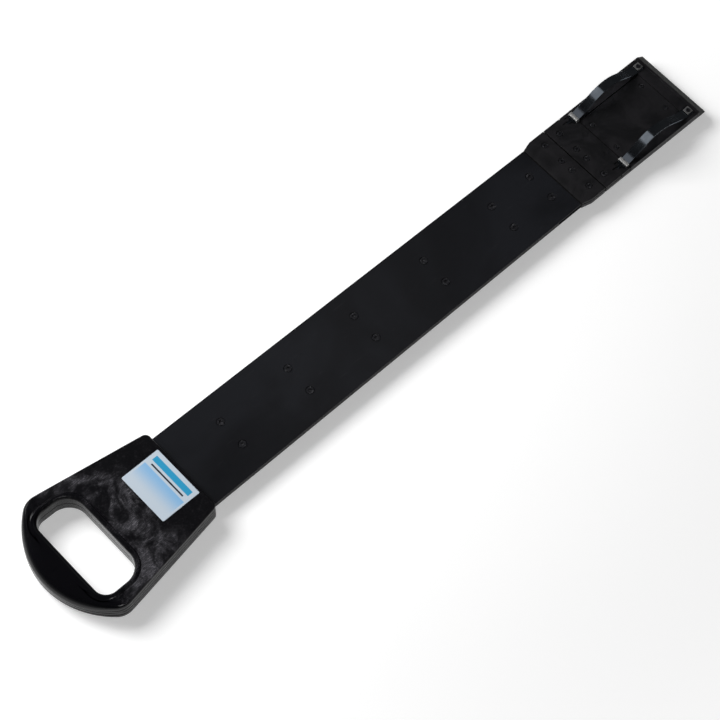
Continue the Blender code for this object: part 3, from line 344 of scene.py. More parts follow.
def paintScrew(place, values):
    rub = place.noise(420.0, 4.0, 0.65).step(0.5, 0.78)
    fine = place.noise(2400.0, 2.0, 0.5)
    colour = rub.mixed(values["dark"], values["worn"])
    rough = (fine * 0.16 + values["gloss"] - rub * 0.08).bounded()
    return {"Base Color": colour, "Roughness": rough, "bump": (fine, 0.00003)}


headValues = {
    "dark": (0.0066, 0.0066, 0.0074),
    "pale": (0.0135, 0.013, 0.0145),
    "gloss": 0.38,
    "IOR": 1.42,
    "scratch": (0.07, 0.07, 0.07),
    "tipAndSeamShadeDark": (0.003, 0.003, 0.003),
    "tipWorn": (0.04, 0.04, 0.038),
    "bevelX": tipX - 8.0 * mm,
    # where the head's seams get a band of painted shade and grime, and how far it reaches either side
    "seams": (boxOf("neck_cover")[0].x + 0.3 * mm, hingeX, boxOf("sensor_cover")[0].x),
    "seamReach": 0.9 * mm,
}


def paintHead(place, values):
    cloud = place.noise(34.0, 4.0, 0.6, 1.0)
    speckle = place.noise(1100.0, 2.0, 0.5)
    rub = place.scaled((1.0, 3.2, 1.0)).noise(60.0, 5.0, 0.7, 1.2).step(0.62, 0.82)
    x = place.axis("X")
    tip = x.step(values["bevelX"] - 0.2 * mm, values["bevelX"] + 0.6 * mm)
    chips = place.noise(380.0, 5.0, 0.75, 0.6)
    colour = cloud.step(0.38, 0.66).mixed(values["dark"], values["pale"])
    colour = (rub * 0.16).bounded().mixed(colour, values["scratch"])
    tipColour = chips.step(0.56, 0.72).mixed(values["tipAndSeamShadeDark"], values["tipWorn"])
    colour = tip.mixed(colour, tipColour)
    # painted shade and grime: a dark, rough band across each seam of the neck and head stands for the shadow
    # in their gaps
    reach = values["seamReach"]
    seamShadeAndGrime = sum((x - seam).math("ABSOLUTE").step(reach, reach * 0.4) for seam in values["seams"]).bounded()
    colour = seamShadeAndGrime.mixed(colour, values["tipAndSeamShadeDark"])
    rough = speckle * 0.14 + cloud * 0.1 + values["gloss"] - 0.1 + tip * 0.2 + seamShadeAndGrime * 0.45
    height = speckle * 0.3 + tip * chips * 2.2
    return {"Base Color": colour, "Roughness": rough.bounded(), "bump": (height, 0.00022)}


springValues = {
    "dark": (0.22, 0.25, 0.29),
    "pale": (0.31, 0.345, 0.39),
    "footDark": (0.12, 0.135, 0.16),
    "footX": jointPlace("left_spring_flex").x - 27 * mm,     # oxide left on the feet behind here
    "gloss": 0.09,
    "Metallic": 1.0,
}


def paintSpring(place, values):
    brushed = place.scaled((1.0, 60.0, 1.0)).noise(60.0, 4.0, 0.6)
    tint = place.noise(70.0, 3.0, 0.5)
    colour = (tint * 0.7 + brushed * 0.3).step(0.35, 0.7).mixed(values["dark"], values["pale"])
    foot = place.axis("X").step(values["footX"] + 5 * mm, values["footX"] - 5 * mm)
    colour = (foot * 0.85).bounded().mixed(colour, values["footDark"])
    rough = (brushed * 0.1 + values["gloss"] - 0.03).bounded()
    return {"Base Color": colour, "Roughness": rough, "bump": (brushed, 0.000012)}


brightValues = {"dark": (0.34, 0.34, 0.34), "pale": (0.68, 0.68, 0.67), "gloss": 0.26, "Metallic": 0.65}
washerValues = {"dark": (0.05, 0.05, 0.052), "pale": (0.15, 0.15, 0.15), "gloss": 0.42, "Metallic": 0.25}


def paintBright(place, values):
    scratches = place.scaled((1.0, 9.0, 1.0)).noise(240.0, 4.0, 0.65)
    spots = place.noise(500.0, 3.0, 0.6)
    colour = (scratches * 0.6 + spots * 0.4).step(0.3, 0.62).mixed(values["dark"], values["pale"])
    rough = (scratches * 0.22 + values["gloss"] - 0.08).bounded()
    return {"Base Color": colour, "Roughness": rough, "bump": (scratches, 0.00003)}


labelValues = {
    "paper": (0.5, 0.575, 0.65),
    "sky": (0.2, 0.43, 0.7),
    "band": (0.03, 0.3, 0.52),
    "rule": (0.02, 0.022, 0.03),
    "gloss": 0.3,
    "bandFrom": 4.5 * mm,        # below the label's upper edge
    "bandTo": 10.5 * mm,
    "ruleFrom": 13.0 * mm,
    "ruleTo": 14.6 * mm,
    "panelFrom": 17.0 * mm,
    "panelEdge": 2.2 * mm,
    "margin": 4.5 * mm,
    "corner": 1.2 * mm,
    "edge": 0.12 * mm,           # eased off round the film
    "proud": 0.05 * mm,          # of the deck
}


def paintLabel(place, values):
    down = labelHigh.x - place.axis("X")
    side = place.axis("Y").math("ABSOLUTE")
    half = (labelHigh.y - labelLow.y) / 2
    soft = 0.12 * mm

    def strip(near, far, inset):
        across = side.step(half - inset + soft, half - inset - soft)
        return down.step(near - soft, near + soft) * down.step(far + soft, far - soft) * across

    length = labelHigh.x - labelLow.x
    fade = down.step(values["panelFrom"], length - 6 * mm)
    haze = place.noise(40.0, 2.0, 0.5) * 0.12
    panelColour = (1.0 - (1.0 - fade) * (0.82 + haze)).mixed(values["sky"], values["paper"])
    panel = strip(values["panelFrom"], length - values["panelEdge"], values["panelEdge"])
    colour = panel.mixed(values["paper"], panelColour)
    margin = values["margin"]
    colour = strip(values["bandFrom"], values["bandTo"], margin).mixed(colour, values["band"])
    colour = strip(values["ruleFrom"], values["ruleTo"], margin + 3 * mm).mixed(colour, values["rule"])
    fibre = place.noise(900.0, 3.0, 0.6)
    dirt = place.noise(130.0, 5.0, 0.7).step(0.6, 0.85) * 0.16
    colour = dirt.bounded().mixed(colour, (0.25, 0.26, 0.28))
    rough = (fibre * 0.15 + values["gloss"]).bounded()
    return {"Base Color": colour, "Roughness": rough, "bump": (fibre, 0.00003)}


electrodeValues = {"dark": (0.3, 0.3, 0.31), "pale": (0.6, 0.6, 0.6), "gloss": 0.3, "Metallic": 1.0}


def paintElectrode(place, values):
    brushed = place.scaled((1.0, 50.0, 1.0)).noise(40.0, 5.0, 0.6)
    rub = place.noise(50.0, 4.0, 0.6, 0.8).step(0.45, 0.75)
    colour = (brushed * 0.5 + rub * 0.5).bounded().mixed(values["dark"], values["pale"])
    rough = (brushed * 0.25 + rub * 0.1 + values["gloss"] - 0.12).bounded()
    return {"Base Color": colour, "Roughness": rough, "bump": (brushed, 0.00004)}


plainValues = {
    "jackBlack": {"dark": (0.006, 0.006, 0.007), "pale": (0.03, 0.03, 0.032), "gloss": 0.35},
    "cableBlack": {"dark": (0.008, 0.008, 0.009), "pale": (0.035, 0.035, 0.035), "gloss": 0.55},
    "boardGreen": {"dark": (0.008, 0.05, 0.02), "pale": (0.02, 0.12, 0.05), "gloss": 0.35},
}


def paintMoulded(place, values):
    cloud = place.noise(160.0, 3.0, 0.6)
    fine = place.noise(1500.0, 2.0, 0.5)
    colour = cloud.step(0.4, 0.75).mixed(values["dark"], values["pale"])
    rough = (fine * 0.15 + values["gloss"]).bounded()
    return {"Base Color": colour, "Roughness": rough, "bump": (fine, 0.00005)}


shellBlack = material("shell black", shellValues, paintShell)
bladeBlack = material("blade black", bladeValues, paintBlade)
coreGrey = material("core laminate", coreValues, paintCore)
screwBlack = material("screw black", screwValues, paintScrew)
headBlack = material("head black", headValues, paintHead)
springBlue = material("spring blue", springValues, paintSpring)
brightSteel = material("bright steel", brightValues, paintBright)
washerGrey = material("washer grey", washerValues, paintBright)
labelFilm = material("label film", labelValues, paintLabel)
electrodeSteel = material("electrode steel", electrodeValues, paintElectrode)
jackBlack = material("jack black", plainValues["jackBlack"], paintMoulded)
cableBlack = material("cable black", plainValues["cableBlack"], paintMoulded)
boardGreen = material("board green", plainValues["boardGreen"], paintMoulded)
print("finishes made")


def smoothed(mesh, angle=32):
    mesh.shade_smooth()
    mesh.set_sharp_from_angle(angle=math.radians(angle))


def pieceFrom(name, mesh, finish):
    mesh.materials.clear()
    mesh.materials.append(finish)
    piece = bpy.data.objects.new(name, mesh)
    bpy.context.collection.objects.link(piece)
    return piece


def meshFrom(bm, name, turnOut=True):
    if turnOut:
        bmesh.ops.recalc_face_normals(bm, faces=bm.faces)
    mesh = bpy.data.meshes.new(name)
    bm.to_mesh(mesh)
    bm.free()
    return mesh


def skinRings(bm, rings, closed=False):
    made = [[bm.verts.new(point) for point in ring] for ring in rings]
    pairs = list(zip(made, made[1:]))
    if closed:
        pairs.append((made[-1], made[0]))
    for lower, upper in pairs:
        count = len(lower)
        for i in range(count):
            j = (i + 1) % count
            bm.faces.new((lower[i], lower[j], upper[j], upper[i]))
    if not closed:
        bm.faces.new(list(reversed(made[0])))
        bm.faces.new(made[-1])


def arcPoints(centre, radius, start, turn, steps):
    return [(centre[0] + radius * math.cos(start + turn * i / steps),
             centre[1] + radius * math.sin(start + turn * i / steps)) for i in range(steps + 1)]


def roundedOutline(corners, step=math.radians(5)):
    points = []
    for i, (x, y, radius) in enumerate(corners):
        here = Vector((x, y))
        back = (Vector(corners[i - 1][:2]) - here).normalized()
        ahead = (Vector(corners[(i + 1) % len(corners)][:2]) - here).normalized()
        if radius == 0:
            points.append((x, y))
            continue
        half = back.angle(ahead) / 2
        centre = here + (back + ahead).normalized() * (radius / math.sin(half))
        first = here + back * (radius / math.tan(half)) - centre
        last = here + ahead * (radius / math.tan(half)) - centre
        turn = math.pi - 2 * half
        if first.x * last.y - first.y * last.x < 0:
            turn = -turn
        steps = max(3, math.ceil(abs(turn) / step))
        points += arcPoints(centre, radius, math.atan2(first.y, first.x), turn, steps)
    return points


def rectangleOutline(low, high, radius, gap=0.0):
    corners = [(low.x - gap, low.y - gap, radius), (high.x + gap, low.y - gap, radius),
               (high.x + gap, high.y + gap, radius), (low.x - gap, high.y + gap, radius)]
    return roundedOutline(corners, math.radians(15))


def insetOutline(points, distances):
    # inwards on an outline that runs anticlockwise, one distance for each point
    moved = []
    around = zip(points[-1:] + points[:-1], points, points[1:] + points[:1], distances)
    for before, here, after, distance in around:
        into = (Vector(here) - Vector(before)).normalized()
        out = (Vector(after) - Vector(here)).normalized()
        normalIn = Vector((-into.y, into.x))
        mitre = (normalIn + Vector((-out.y, out.x))).normalized()
        reach = distance / max(0.5, mitre.dot(normalIn))
        moved.append((here[0] + mitre.x * reach, here[1] + mitre.y * reach))
    return moved


def turnedBody(bm, profile, place, turn=None, segments=40):
    # profile is (radius, height) from the foot up
    pose = Matrix.Translation(place) @ (turn or Matrix.Identity(4))
    angles = [2 * math.pi * i / segments for i in range(segments)]
    rings = [[pose @ Vector((radius * math.cos(a), radius * math.sin(a), height)) for a in angles]
             for radius, height in profile]
    skinRings(bm, rings)


def boxBody(bm, low, high):
    rings = [[(low[0], low[1], z), (high[0], low[1], z), (high[0], high[1], z), (low[0], high[1], z)]
             for z in (low[2], high[2])]
    skinRings(bm, rings)


def combined(piece, bm, operation="DIFFERENCE"):
    # cuts or joins one closed body, or several that don't overlap, and applies the result
    tool = bpy.data.objects.new("tool", meshFrom(bm, "tool"))
    bpy.context.collection.objects.link(tool)
    modifier = piece.modifiers.new("tool", "BOOLEAN")
    modifier.operation = operation
    modifier.solver = "EXACT"
    modifier.object = tool
    applied(piece)
    cleaned(piece)
    bpy.data.objects.remove(tool, do_unlink=True)


def applied(piece):
    shown = piece.evaluated_get(bpy.context.evaluated_depsgraph_get())
    mesh = bpy.data.meshes.new_from_object(shown)
    piece.modifiers.clear()
    piece.data = mesh


def cleaned(piece):
    # slivers left by the cuts would spoil the shading
    bm = bmesh.new()
    bm.from_mesh(piece.data)
    bmesh.ops.dissolve_degenerate(bm, edges=bm.edges, dist=0.002 * mm)
    bm.to_mesh(piece.data)
    bm.free()


def mergedCopy(node):
    # a copy of a CAD node's loose triangles as one clean closed mesh
    bm = bmesh.new()
    bm.from_mesh(frame["nodes"][node].data)
    bmesh.ops.remove_doubles(bm, verts=bm.verts, dist=0.002 * mm)
    bmesh.ops.dissolve_limit(bm, angle_limit=math.radians(0.2), verts=bm.verts, edges=bm.edges)
    return bm


def easedEdges(bm, width, shortest):
    # rounds the long sharp edges only, so that holes and narrow steps keep their shape
    sharp = []
    for edge in bm.edges:
        length = edge.calc_length()
        narrow = min(face.calc_area() for face in edge.link_faces) < 2.2 * width * length
        if length > shortest and edge.calc_face_angle(0) > math.radians(30) and not narrow:
            sharp.append(edge)
    bmesh.ops.bevel(bm, geom=sharp, offset=width, offset_type="OFFSET", segments=2, profile=0.5,
                    affect="EDGES", clamp_overlap=False)


def easedPiece(name, node, finish, width=0.35 * mm, shortest=3.0 * mm):
    bm = mergedCopy(node)
    easedEdges(bm, width, shortest)
    return pieceFrom(name, meshFrom(bm, name, turnOut=False), finish)


def placed(piece, body, slot, *nodes):
    smoothed(piece.data)
    even = piece.modifiers.new("even shading", "WEIGHTED_NORMAL")
    even.keep_sharp = True
    applied(piece)
    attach(piece, body)
    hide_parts(*nodes)
    return piece


# each handle shell is one closed ring of sections round the grip opening, blended from the deck to the grip
sectionValues = {
    "upper": {
        "deckOuter": {"edge": 1.5 * mm, "drop": 1.5 * mm, "groove": 1.0 * mm, "grooveHeight": 5.4 * mm},
        "gripOuter": {"edge": 12.5 * mm, "drop": 9.4 * mm, "groove": 0.0, "grooveHeight": 5.4 * mm},
        "deckInner": {"lip": 0.7 * mm, "groove": 0.35 * mm, "across": 3.2 * mm, "drop": 3.6 * mm},
        "gripInner": {"lip": 0.0, "groove": 0.0, "across": 4.6 * mm, "drop": 4.4 * mm},
    },
    "lower": {
        "deckOuter": {"edge": 2.2 * mm, "drop": 2.2 * mm, "groove": 1.0 * mm, "grooveHeight": 4.8 * mm},
        "gripOuter": {"edge": 6.5 * mm, "drop": 5.0 * mm, "groove": 0.4 * mm, "grooveHeight": 4.4 * mm},
        "deckInner": {"lip": 0.0, "groove": 0.35 * mm, "across": 2.6 * mm, "drop": 2.6 * mm},
        "gripInner": {"lip": 0.0, "groove": 0.0, "across": 6.0 * mm, "drop": 5.5 * mm},
    },
    "deckCavity": {"inset": 0.4 * mm, "lower": 0.0},
    "gripCavity": {"inset": 3.2 * mm, "lower": 3.4 * mm},
    "bridges": 5,                 # rings across the face, between its two edges
}


def rearPlaces(values):
    # where the tangents at the ends of the grip's arc meet behind it, and where they reach the rear corners
    angle = math.radians(values["gripAngle"])
    radius = values["gripRadius"]
    arcEnd = Vector((handleLow.x + radius - radius * math.cos(angle), radius * math.sin(angle)))
    apexX = arcEnd.x - arcEnd.y * math.tan(angle)
    return apexX, apexX + values["rearWidth"] / 2 * math.tan(angle)


def handleOutline(values):
    apexX, rearX = rearPlaces(values)
    rear = values["rearWidth"] / 2
    front = values["frontWidth"] / 2
    corners = [(frontX, -front, values["frontCorner"]), (frontX, front, values["frontCorner"]),
               (rearX, rear, values["rearCorner"]), (apexX, 0, values["gripRadius"]),
               (rearX, -rear, values["rearCorner"])]
    return roundedOutline(corners, math.radians(3))


def openingOutline(values):
    rear = handleLow.x + values["barWidth"]
    front = rear + values["openingLength"]
    half = values["openingWidth"] / 2
    corners = [(rear, -half, values["gripCorner"]), (front, -half, values["deckCorner"]),
               (front, half, values["deckCorner"]), (rear, half, values["gripCorner"])]
    return roundedOutline(corners, math.radians(5))


def crossing(outline, centre, angle):
    # where a ray from the centre meets a closed outline
    ray = Vector((math.cos(angle), math.sin(angle)))
    best = None
    for a, b in zip(outline, outline[1:] + outline[:1]):
        edge = Vector(b) - Vector(a)
        gap = Vector(a) - centre
        bottom = ray.x * edge.y - ray.y * edge.x
        if abs(bottom) < 1e-12:
            continue
        share = (ray.y * gap.x - ray.x * gap.y) / bottom
        reach = (gap.x * edge.y - gap.y * edge.x) / bottom
        if -1e-6 <= share <= 1 + 1e-6 and reach > 0 and (best is None or reach > best):
            best = reach
    return (centre.x + ray.x * best, centre.y + ray.y * best)


def rayAngles(outlines, centre):
    angles = [math.atan2(y - centre.y, x - centre.x) for outline in outlines for x, y in outline]
    angles += [math.radians(degree) - math.pi for degree in range(0, 360, 3)]
    kept = []
    for angle in sorted(angles):
        if not kept or angle - kept[-1] > math.radians(0.35):
            kept.append(angle)
    return kept


def cornerRows(face, across, drop, steps, rising):
    # a quarter of an ellipse between a wall and a face
    rows = []
    for k in range(steps + 1):
        angle = math.radians(90) * k / steps
        if not rising:
            angle = math.radians(90) - angle
        rows.append((across * (1 - math.cos(angle)), face - drop * (1 - math.sin(angle))))
    return rows


def outerRows(edge, drop, groove, grooveHeight):
    # from the parting plane up the outer wall and over the edge: (inset, height)
    low = handleValues["parting"]
    chamfer, rise = handleValues["partingChamfer"]
    rim = faceHeight - drop
    rows = [(chamfer, low), (0.0, low + rise)]
    for share, inset in ((-0.5, 0), (-0.3, groove), (0.3, groove), (0.5, 0)):
        height = grooveHeight + share * handleValues["grooveWidth"]
        rows.append((inset, min(height, rim - (0.5 - share) * 0.2 * mm)))       # below the rounded edge
    return rows + cornerRows(faceHeight, edge, drop, 9, True)


def innerRows(lip, groove, across, drop):
    # from the face, through a groove, over a lip and down the opening's wall: (offset, height)
    low = handleValues["parting"]
    rows = [(across + 4.6 * mm, faceHeight), (across + 3.7 * mm, faceHeight)]
    rows += [(across + 3.2 * mm, faceHeight - groove), (across + 2.7 * mm, faceHeight - groove)]
    rows += [(across + 2.1 * mm, faceHeight + lip * 0.1), (across + 1.3 * mm, faceHeight + lip * 0.75)]
    rows += [(across + 0.5 * mm, faceHeight + lip * 0.98)]
    rows += cornerRows(faceHeight + lip, across, drop, 8, False)
    return rows + [(0.0, low + 1.3 * mm), (0.0, low + 0.3 * mm), (0.3 * mm, low)]


def cavityRows(inset, lower):
    # the hollow: two rows up the opening's wall, then two down the outer wall
    low = handleValues["parting"]
    wall = handleValues["wall"]
    roof = faceHeight - wall - lower
    return [(wall, low), (wall, roof - 0.4 * mm)], [(wall + inset, roof), (wall, low)]


def gripShare(angle, values):
    # 0 at the flat deck, 1 at the round grip
    turn = (math.degrees(abs(angle)) - values["turnStart"]) / (values["turnEnd"] - values["turnStart"])
    turn = min(max(turn, 0.0), 1.0)
    return turn * turn * (3 - 2 * turn)


def shellRings(half, values):
    side = 1 if half == "upper" else -1
    section = sectionValues[half]
    outer = handleOutline(values)
    opening = openingOutline(values)
    centre = Vector((openingX, 0))
    angles = rayAngles((outer, opening), centre)
    outerRing = [crossing(outer, centre, angle) for angle in angles]
    openingRing = [crossing(opening, centre, angle) for angle in angles]
    shares = [gripShare(angle, values) for angle in angles]

    def rings(base, direction, deckRows, gripRows):
        made = []
        for deck, grip in zip(deckRows, gripRows):
            offsets = [direction * (deck[0] + (grip[0] - deck[0]) * share) for share in shares]
            heights = [deck[1] + (grip[1] - deck[1]) * share for share in shares]
            flat = insetOutline(base, offsets)
            made.append([(x, y, middleZ + side * height) for (x, y), height in zip(flat, heights)])
        return made

    outside = rings(outerRing, 1, outerRows(**section["deckOuter"]), outerRows(**section["gripOuter"]))
    inside = rings(openingRing, -1, innerRows(**section["deckInner"]), innerRows(**section["gripInner"]))
    count = sectionValues["bridges"]
    face = [[tuple(Vector(a).lerp(Vector(b), k / (count + 1))) for a, b in zip(outside[-1], inside[0])]
            for k in range(1, count + 1)]
    deckUp, deckDown = cavityRows(**sectionValues["deckCavity"])
    gripUp, gripDown = cavityRows(**sectionValues["gripCavity"])
    hollow = rings(openingRing, -1, deckUp, gripUp) + rings(outerRing, 1, deckDown, gripDown)
    return outside + face + inside + hollow


def jackPose():
    # at the nut, square to the side wall that it sits in
    rearX = rearPlaces(handleValues)[1]
    slope = (handleValues["rearWidth"] - handleValues["frontWidth"]) / 2 / (frontX - rearX)
    outward = Vector((slope, 1, 0)).normalized()
    return middle("jack_nut"), outward.to_track_quat("Z", "Y").to_matrix().to_4x4()


def makeShell(name, half, values):
    bm = bmesh.new()
    skinRings(bm, shellRings(half, values), closed=True)
    piece = pieceFrom(name, meshFrom(bm, name), shellBlack)
    gap = values["bladeClearance"]
    pocket = bmesh.new()
    boxBody(pocket, (bladeLow.x - gap, -bladeHigh.y - gap, bladeFoot - gap),
            (frontX + mm, bladeHigh.y + gap, bladeHigh.z + gap))
    combined(piece, pocket)
    place, turn = jackPose()
    hole = bmesh.new()
    turnedBody(hole, [(values["jackHole"], -8 * mm), (values["jackHole"], 4 * mm)], place, turn)
    combined(piece, hole)
    return piece


def finishUpperShell(values):
    piece = makeShell("handle_upper_skin", "upper", values)
    outline = rectangleOutline(labelLow, labelHigh, values["labelCorner"], values["labelClearance"])
    pocket = bmesh.new()
    skinRings(pocket, [[(x, y, z) for x, y in outline]
                       for z in (handleHigh.z - values["labelDepth"], handleHigh.z + mm)])
    combined(piece, pocket)
    placed(piece, "probe", "black_shell", "handle_upper_shell")


bossValues = {
    "radius": 4.8 * mm,
    "floor": 1.2 * mm,            # up to where the boss grows out of the shell's face
    "bore": 1.9 * mm,
    "headHeight": 2.4 * mm,
    "clearance": 0.3 * mm,
    "mouth": 0.4 * mm,
}


def finishLowerShell(values):
    piece = makeShell("handle_lower_skin", "lower", handleValues)
    bosses = bmesh.new()
    bores = bmesh.new()
    foot = lowerLow.z
    mouth, bore = values["mouth"], values["bore"]
    for node in screwNodes["handle_screws"]:
        low, high = boxOf(node)
        centre = (middle(node).x, middle(node).y, 0)
        head = (high.x - low.x) / 2 + values["clearance"]
        seat = low.z + values["headHeight"]
        profile = [(head + 1.5 * mouth, foot - mm), (head + mouth, foot), (head, foot + mouth),
                   (head, seat), (bore, seat), (bore, bladeFoot + mm)]
        turnedBody(bores, profile, centre)
        turnedBody(bosses, [(values["radius"], foot + values["floor"]),
                            (values["radius"], bladeFoot - handleValues["bladeClearance"])], centre)
    combined(piece, bosses, "UNION")
    combined(piece, bores)
    placed(piece, "probe", "black_shell", "handle_lower_shell")


finishUpperShell(handleValues)
finishLowerShell(bossValues)
print("handle shells made")


def makeLabel(values):
    outline = rectangleOutline(labelLow, labelHigh, values["corner"])
    foot = handleHigh.z - handleValues["labelDepth"] + values["proud"]
    face = handleHigh.z + values["proud"]
    edge = values["edge"]
    bm = bmesh.new()
    skinRings(bm, [[(x, y, z) for x, y in insetOutline(outline, [inset] * len(outline))]
                   for inset, z in ((0.0, foot), (0.0, face - edge), (edge, face))])
    placed(pieceFrom("label", meshFrom(bm, "label"), labelFilm), "probe", "label", "rating_label")


makeLabel(labelValues)


# screws and rivets come from one tree: a turned body with a hexagon socket, set at points
def screwTree():
    tree = bpy.data.node_groups.new("turned screw", "GeometryNodeTree")
    shelf = tree.interface
    shelf.new_socket("Geometry", in_out="INPUT", socket_type="NodeSocketGeometry")
    shelf.new_socket("Geometry", in_out="OUTPUT", socket_type="NodeSocketGeometry")
    for name in ("Head Radius", "Head Height", "Shank Radius", "Length", "Cone Share", "Round Over",
                 "Socket Radius", "Socket Depth", "Tilt"):
        shelf.new_socket(name, in_out="INPUT", socket_type="NodeSocketFloat")
    shelf.new_socket("Seed", in_out="INPUT", socket_type="NodeSocketInt")
    shelf.new_socket("Finish", in_out="INPUT", socket_type="NodeSocketMaterial")
    entry = tree.nodes.new("NodeGroupInput")
    given = {socket.name: Field(tree, socket) for socket in entry.outputs if socket.name}
    begin = Field(tree)

    shankLength = given["Length"] - given["Head Height"]
    shank = tree.nodes.new("GeometryNodeMeshCylinder")
    shank.inputs["Vertices"].default_value = 36
    tree.links.new(given["Shank Radius"].out, shank.inputs["Radius"])
    tree.links.new(shankLength.out, shank.inputs["Depth"])
    lowered = begin.make("ShaderNodeCombineXYZ", {}, {"Z": 0.0 - given["Head Height"] - shankLength * 0.5})
    body = begin.make("GeometryNodeTransform", {},
                      {"Geometry": Field(tree, shank.outputs["Mesh"]), "Translation": lowered})
    top = Field(tree, shank.outputs["Top"])

    def grow(body, top, lift, scale):
        # lifts the top face, then spreads or gathers it
        node = tree.nodes.new("GeometryNodeExtrudeMesh")
        node.mode = "FACES"
        node.inputs["Individual"].default_value = False
        tree.links.new(body.out, node.inputs["Mesh"])
        tree.links.new(top.out, node.inputs["Selection"])
        if isinstance(lift, Field):
            tree.links.new(lift.out, node.inputs["Offset Scale"])
        else:
            node.inputs["Offset Scale"].default_value = lift
        grown, newTop = Field(tree, node.outputs["Mesh"]), Field(tree, node.outputs["Top"])
        if scale is not None:
            grown = begin.make("GeometryNodeScaleElements", {"domain": "FACE"},
                               {"Geometry": grown, "Selection": newTop, "Scale": scale})
        return grown, newTop

    radius, over = given["Head Radius"], given["Round Over"]
    cone = given["Head Height"] * given["Cone Share"]
    reach = given["Cone Share"] * 1.3                     # of the cone's slope, across the underside
    flare = radius / given["Shank Radius"]
    underside = flare * 0.999 - (flare - 1.0) * reach
    widest = radius / (radius - (radius - given["Shank Radius"]) * reach)
    rounded = (radius - over) / radius
    eased = rounded * 0.35 + 0.65
    body, top = grow(body, top, 0.01 * mm, underside)
    body, top = grow(body, top, cone, widest)
    body, top = grow(body, top, given["Head Height"] - cone - over, None)
    body, top = grow(body, top, over * 0.6, eased)
    body, top = grow(body, top, over * 0.4, rounded / eased)
    body, top = grow(body, top, 0.005 * mm, given["Socket Radius"] / (radius - over))
    place = begin.make("GeometryNodeInputPosition", {}, {})
    x, y, z = place.axis("X"), place.axis("Y"), place.axis("Z")
    sixth = math.radians(60)
    turn = (y.math("ARCTAN2", x) + 2 * math.pi).math("MODULO", sixth) - sixth / 2
    share = turn.math("COSINE").math("POWER", -1.0) * math.cos(sixth / 2)
    hexed = begin.make("ShaderNodeCombineXYZ", {}, {"X": x * share, "Y": y * share, "Z": z})
    body = begin.make("GeometryNodeSetPosition", {}, {"Geometry": body, "Selection": top, "Position": hexed})
    body, top = grow(body, top, 0.0 - given["Socket Depth"], None)

    spin = begin.make("FunctionNodeRandomValue", {"data_type": "FLOAT"},
                      {2: 0.0, 3: 2 * math.pi, "Seed": given["Seed"]}, 1)
    turned = begin.make("ShaderNodeCombineXYZ", {}, {"X": given["Tilt"], "Z": spin})
    spread = begin.make("GeometryNodeInstanceOnPoints", {},
                        {"Points": given["Geometry"], "Instance": body, "Rotation": turned})
    solid = begin.make("GeometryNodeRealizeInstances", {}, {"Geometry": spread})
    shown = begin.make("GeometryNodeSetMaterial", {}, {"Geometry": solid, "Material": given["Finish"]})
    end = tree.nodes.new("NodeGroupOutput")
    tree.links.new(shown.out, end.inputs[0])
    return tree


screwGroup = screwTree()

# millimetres, but for the cone, which is a share of the head's height
commonScrew = {"sink": 0.0, "deep": 0.9, "cone": 0.5, "headHeight": 1.1, "shank": None, "down": False}
screwKinds = {
    "blade_screws": {"body": "probe", "sink": 0.25, "socket": 2.0, "over": 0.22, "seed": 3},
    "neck_screws": {"body": "probe", "sink": 0.3, "socket": 1.5, "over": 0.2, "seed": 5},
    "rear_screws": {"body": "head", "sink": 0.3, "socket": 1.5, "over": 0.2, "seed": 7},
    "cover_screws": {"body": "head", "sink": 0.2, "socket": 1.2, "deep": 0.7, "over": 0.15, "seed": 11},
    "handle_screws": {"body": "probe", "socket": 1.7, "deep": 1.3, "cone": 0.02, "over": 0.3, "seed": 13,
                      "headHeight": 2.4, "shank": 1.6, "down": True},
    "spring_rivets": {"body": "head", "socket": 1.0, "deep": 0.45, "cone": 0.02, "over": 0.35, "seed": 17,
                      "headHeight": 0.8, "shank": 1.2},
}
shankShare = 0.46      # of the head's radius, on the countersunk screws


def makeScrews(name, nodes, values):
    down = values["down"]
    sink = values["sink"] * mm
    places = []
    for node in nodes:
        low, high = boxOf(node)
        centre = middle(node)
        places.append((centre.x, centre.y, low.z if down else high.z - sink))
    low, high = boxOf(nodes[0])        # the others are its size
    mesh = bpy.data.meshes.new(name)
    mesh.from_pydata(places, [], [])
    holder = bpy.data.objects.new(name + " places", mesh)
    bpy.context.collection.objects.link(holder)
    modifier = holder.modifiers.new("screws", "NODES")
    modifier.node_group = screwGroup
    headRadius = (high.x - low.x) / 2
    settings = {
        "Head Radius": headRadius,
        "Head Height": values["headHeight"] * mm,
        "Shank Radius": values["shank"] * mm if values["shank"] else shankShare * headRadius,
        "Length": high.z - low.z - sink,
        "Cone Share": values["cone"],
        "Round Over": values["over"] * mm,
        "Socket Radius": values["socket"] * mm,
        "Socket Depth": values["deep"] * mm,
        "Tilt": math.pi if down else 0.0,
        "Seed": values["seed"],
        "Finish": screwBlack,
    }
    for socket in screwGroup.interface.items_tree:
        if socket.in_out == "INPUT" and socket.name in settings:
            modifier[socket.identifier] = settings[socket.name]
    shown = holder.evaluated_get(bpy.context.evaluated_depsgraph_get())
    made = bpy.data.meshes.new_from_object(shown)
    bpy.data.objects.remove(holder, do_unlink=True)
    piece = bpy.data.objects.new(name, made)
    bpy.context.collection.objects.link(piece)
    return placed(piece, values["body"], "black_screw", *nodes)


for name, values in screwKinds.items():
    makeScrews(name, screwNodes[name], {**commonScrew, **values})
print("screws made")


# blade, neck and head are eased copies of the CAD pieces with round, clean holes
holeValues = {
    "clearance": 0.5 * mm,
    "shankClearance": 0.65 * mm,
    "mouth": 0.25 * mm,
    "coneTop": 0.75 * mm,      # below the screw's top
    "coneFoot": 1.3 * mm,
    "past": 2.0 * mm,          # below the piece
}


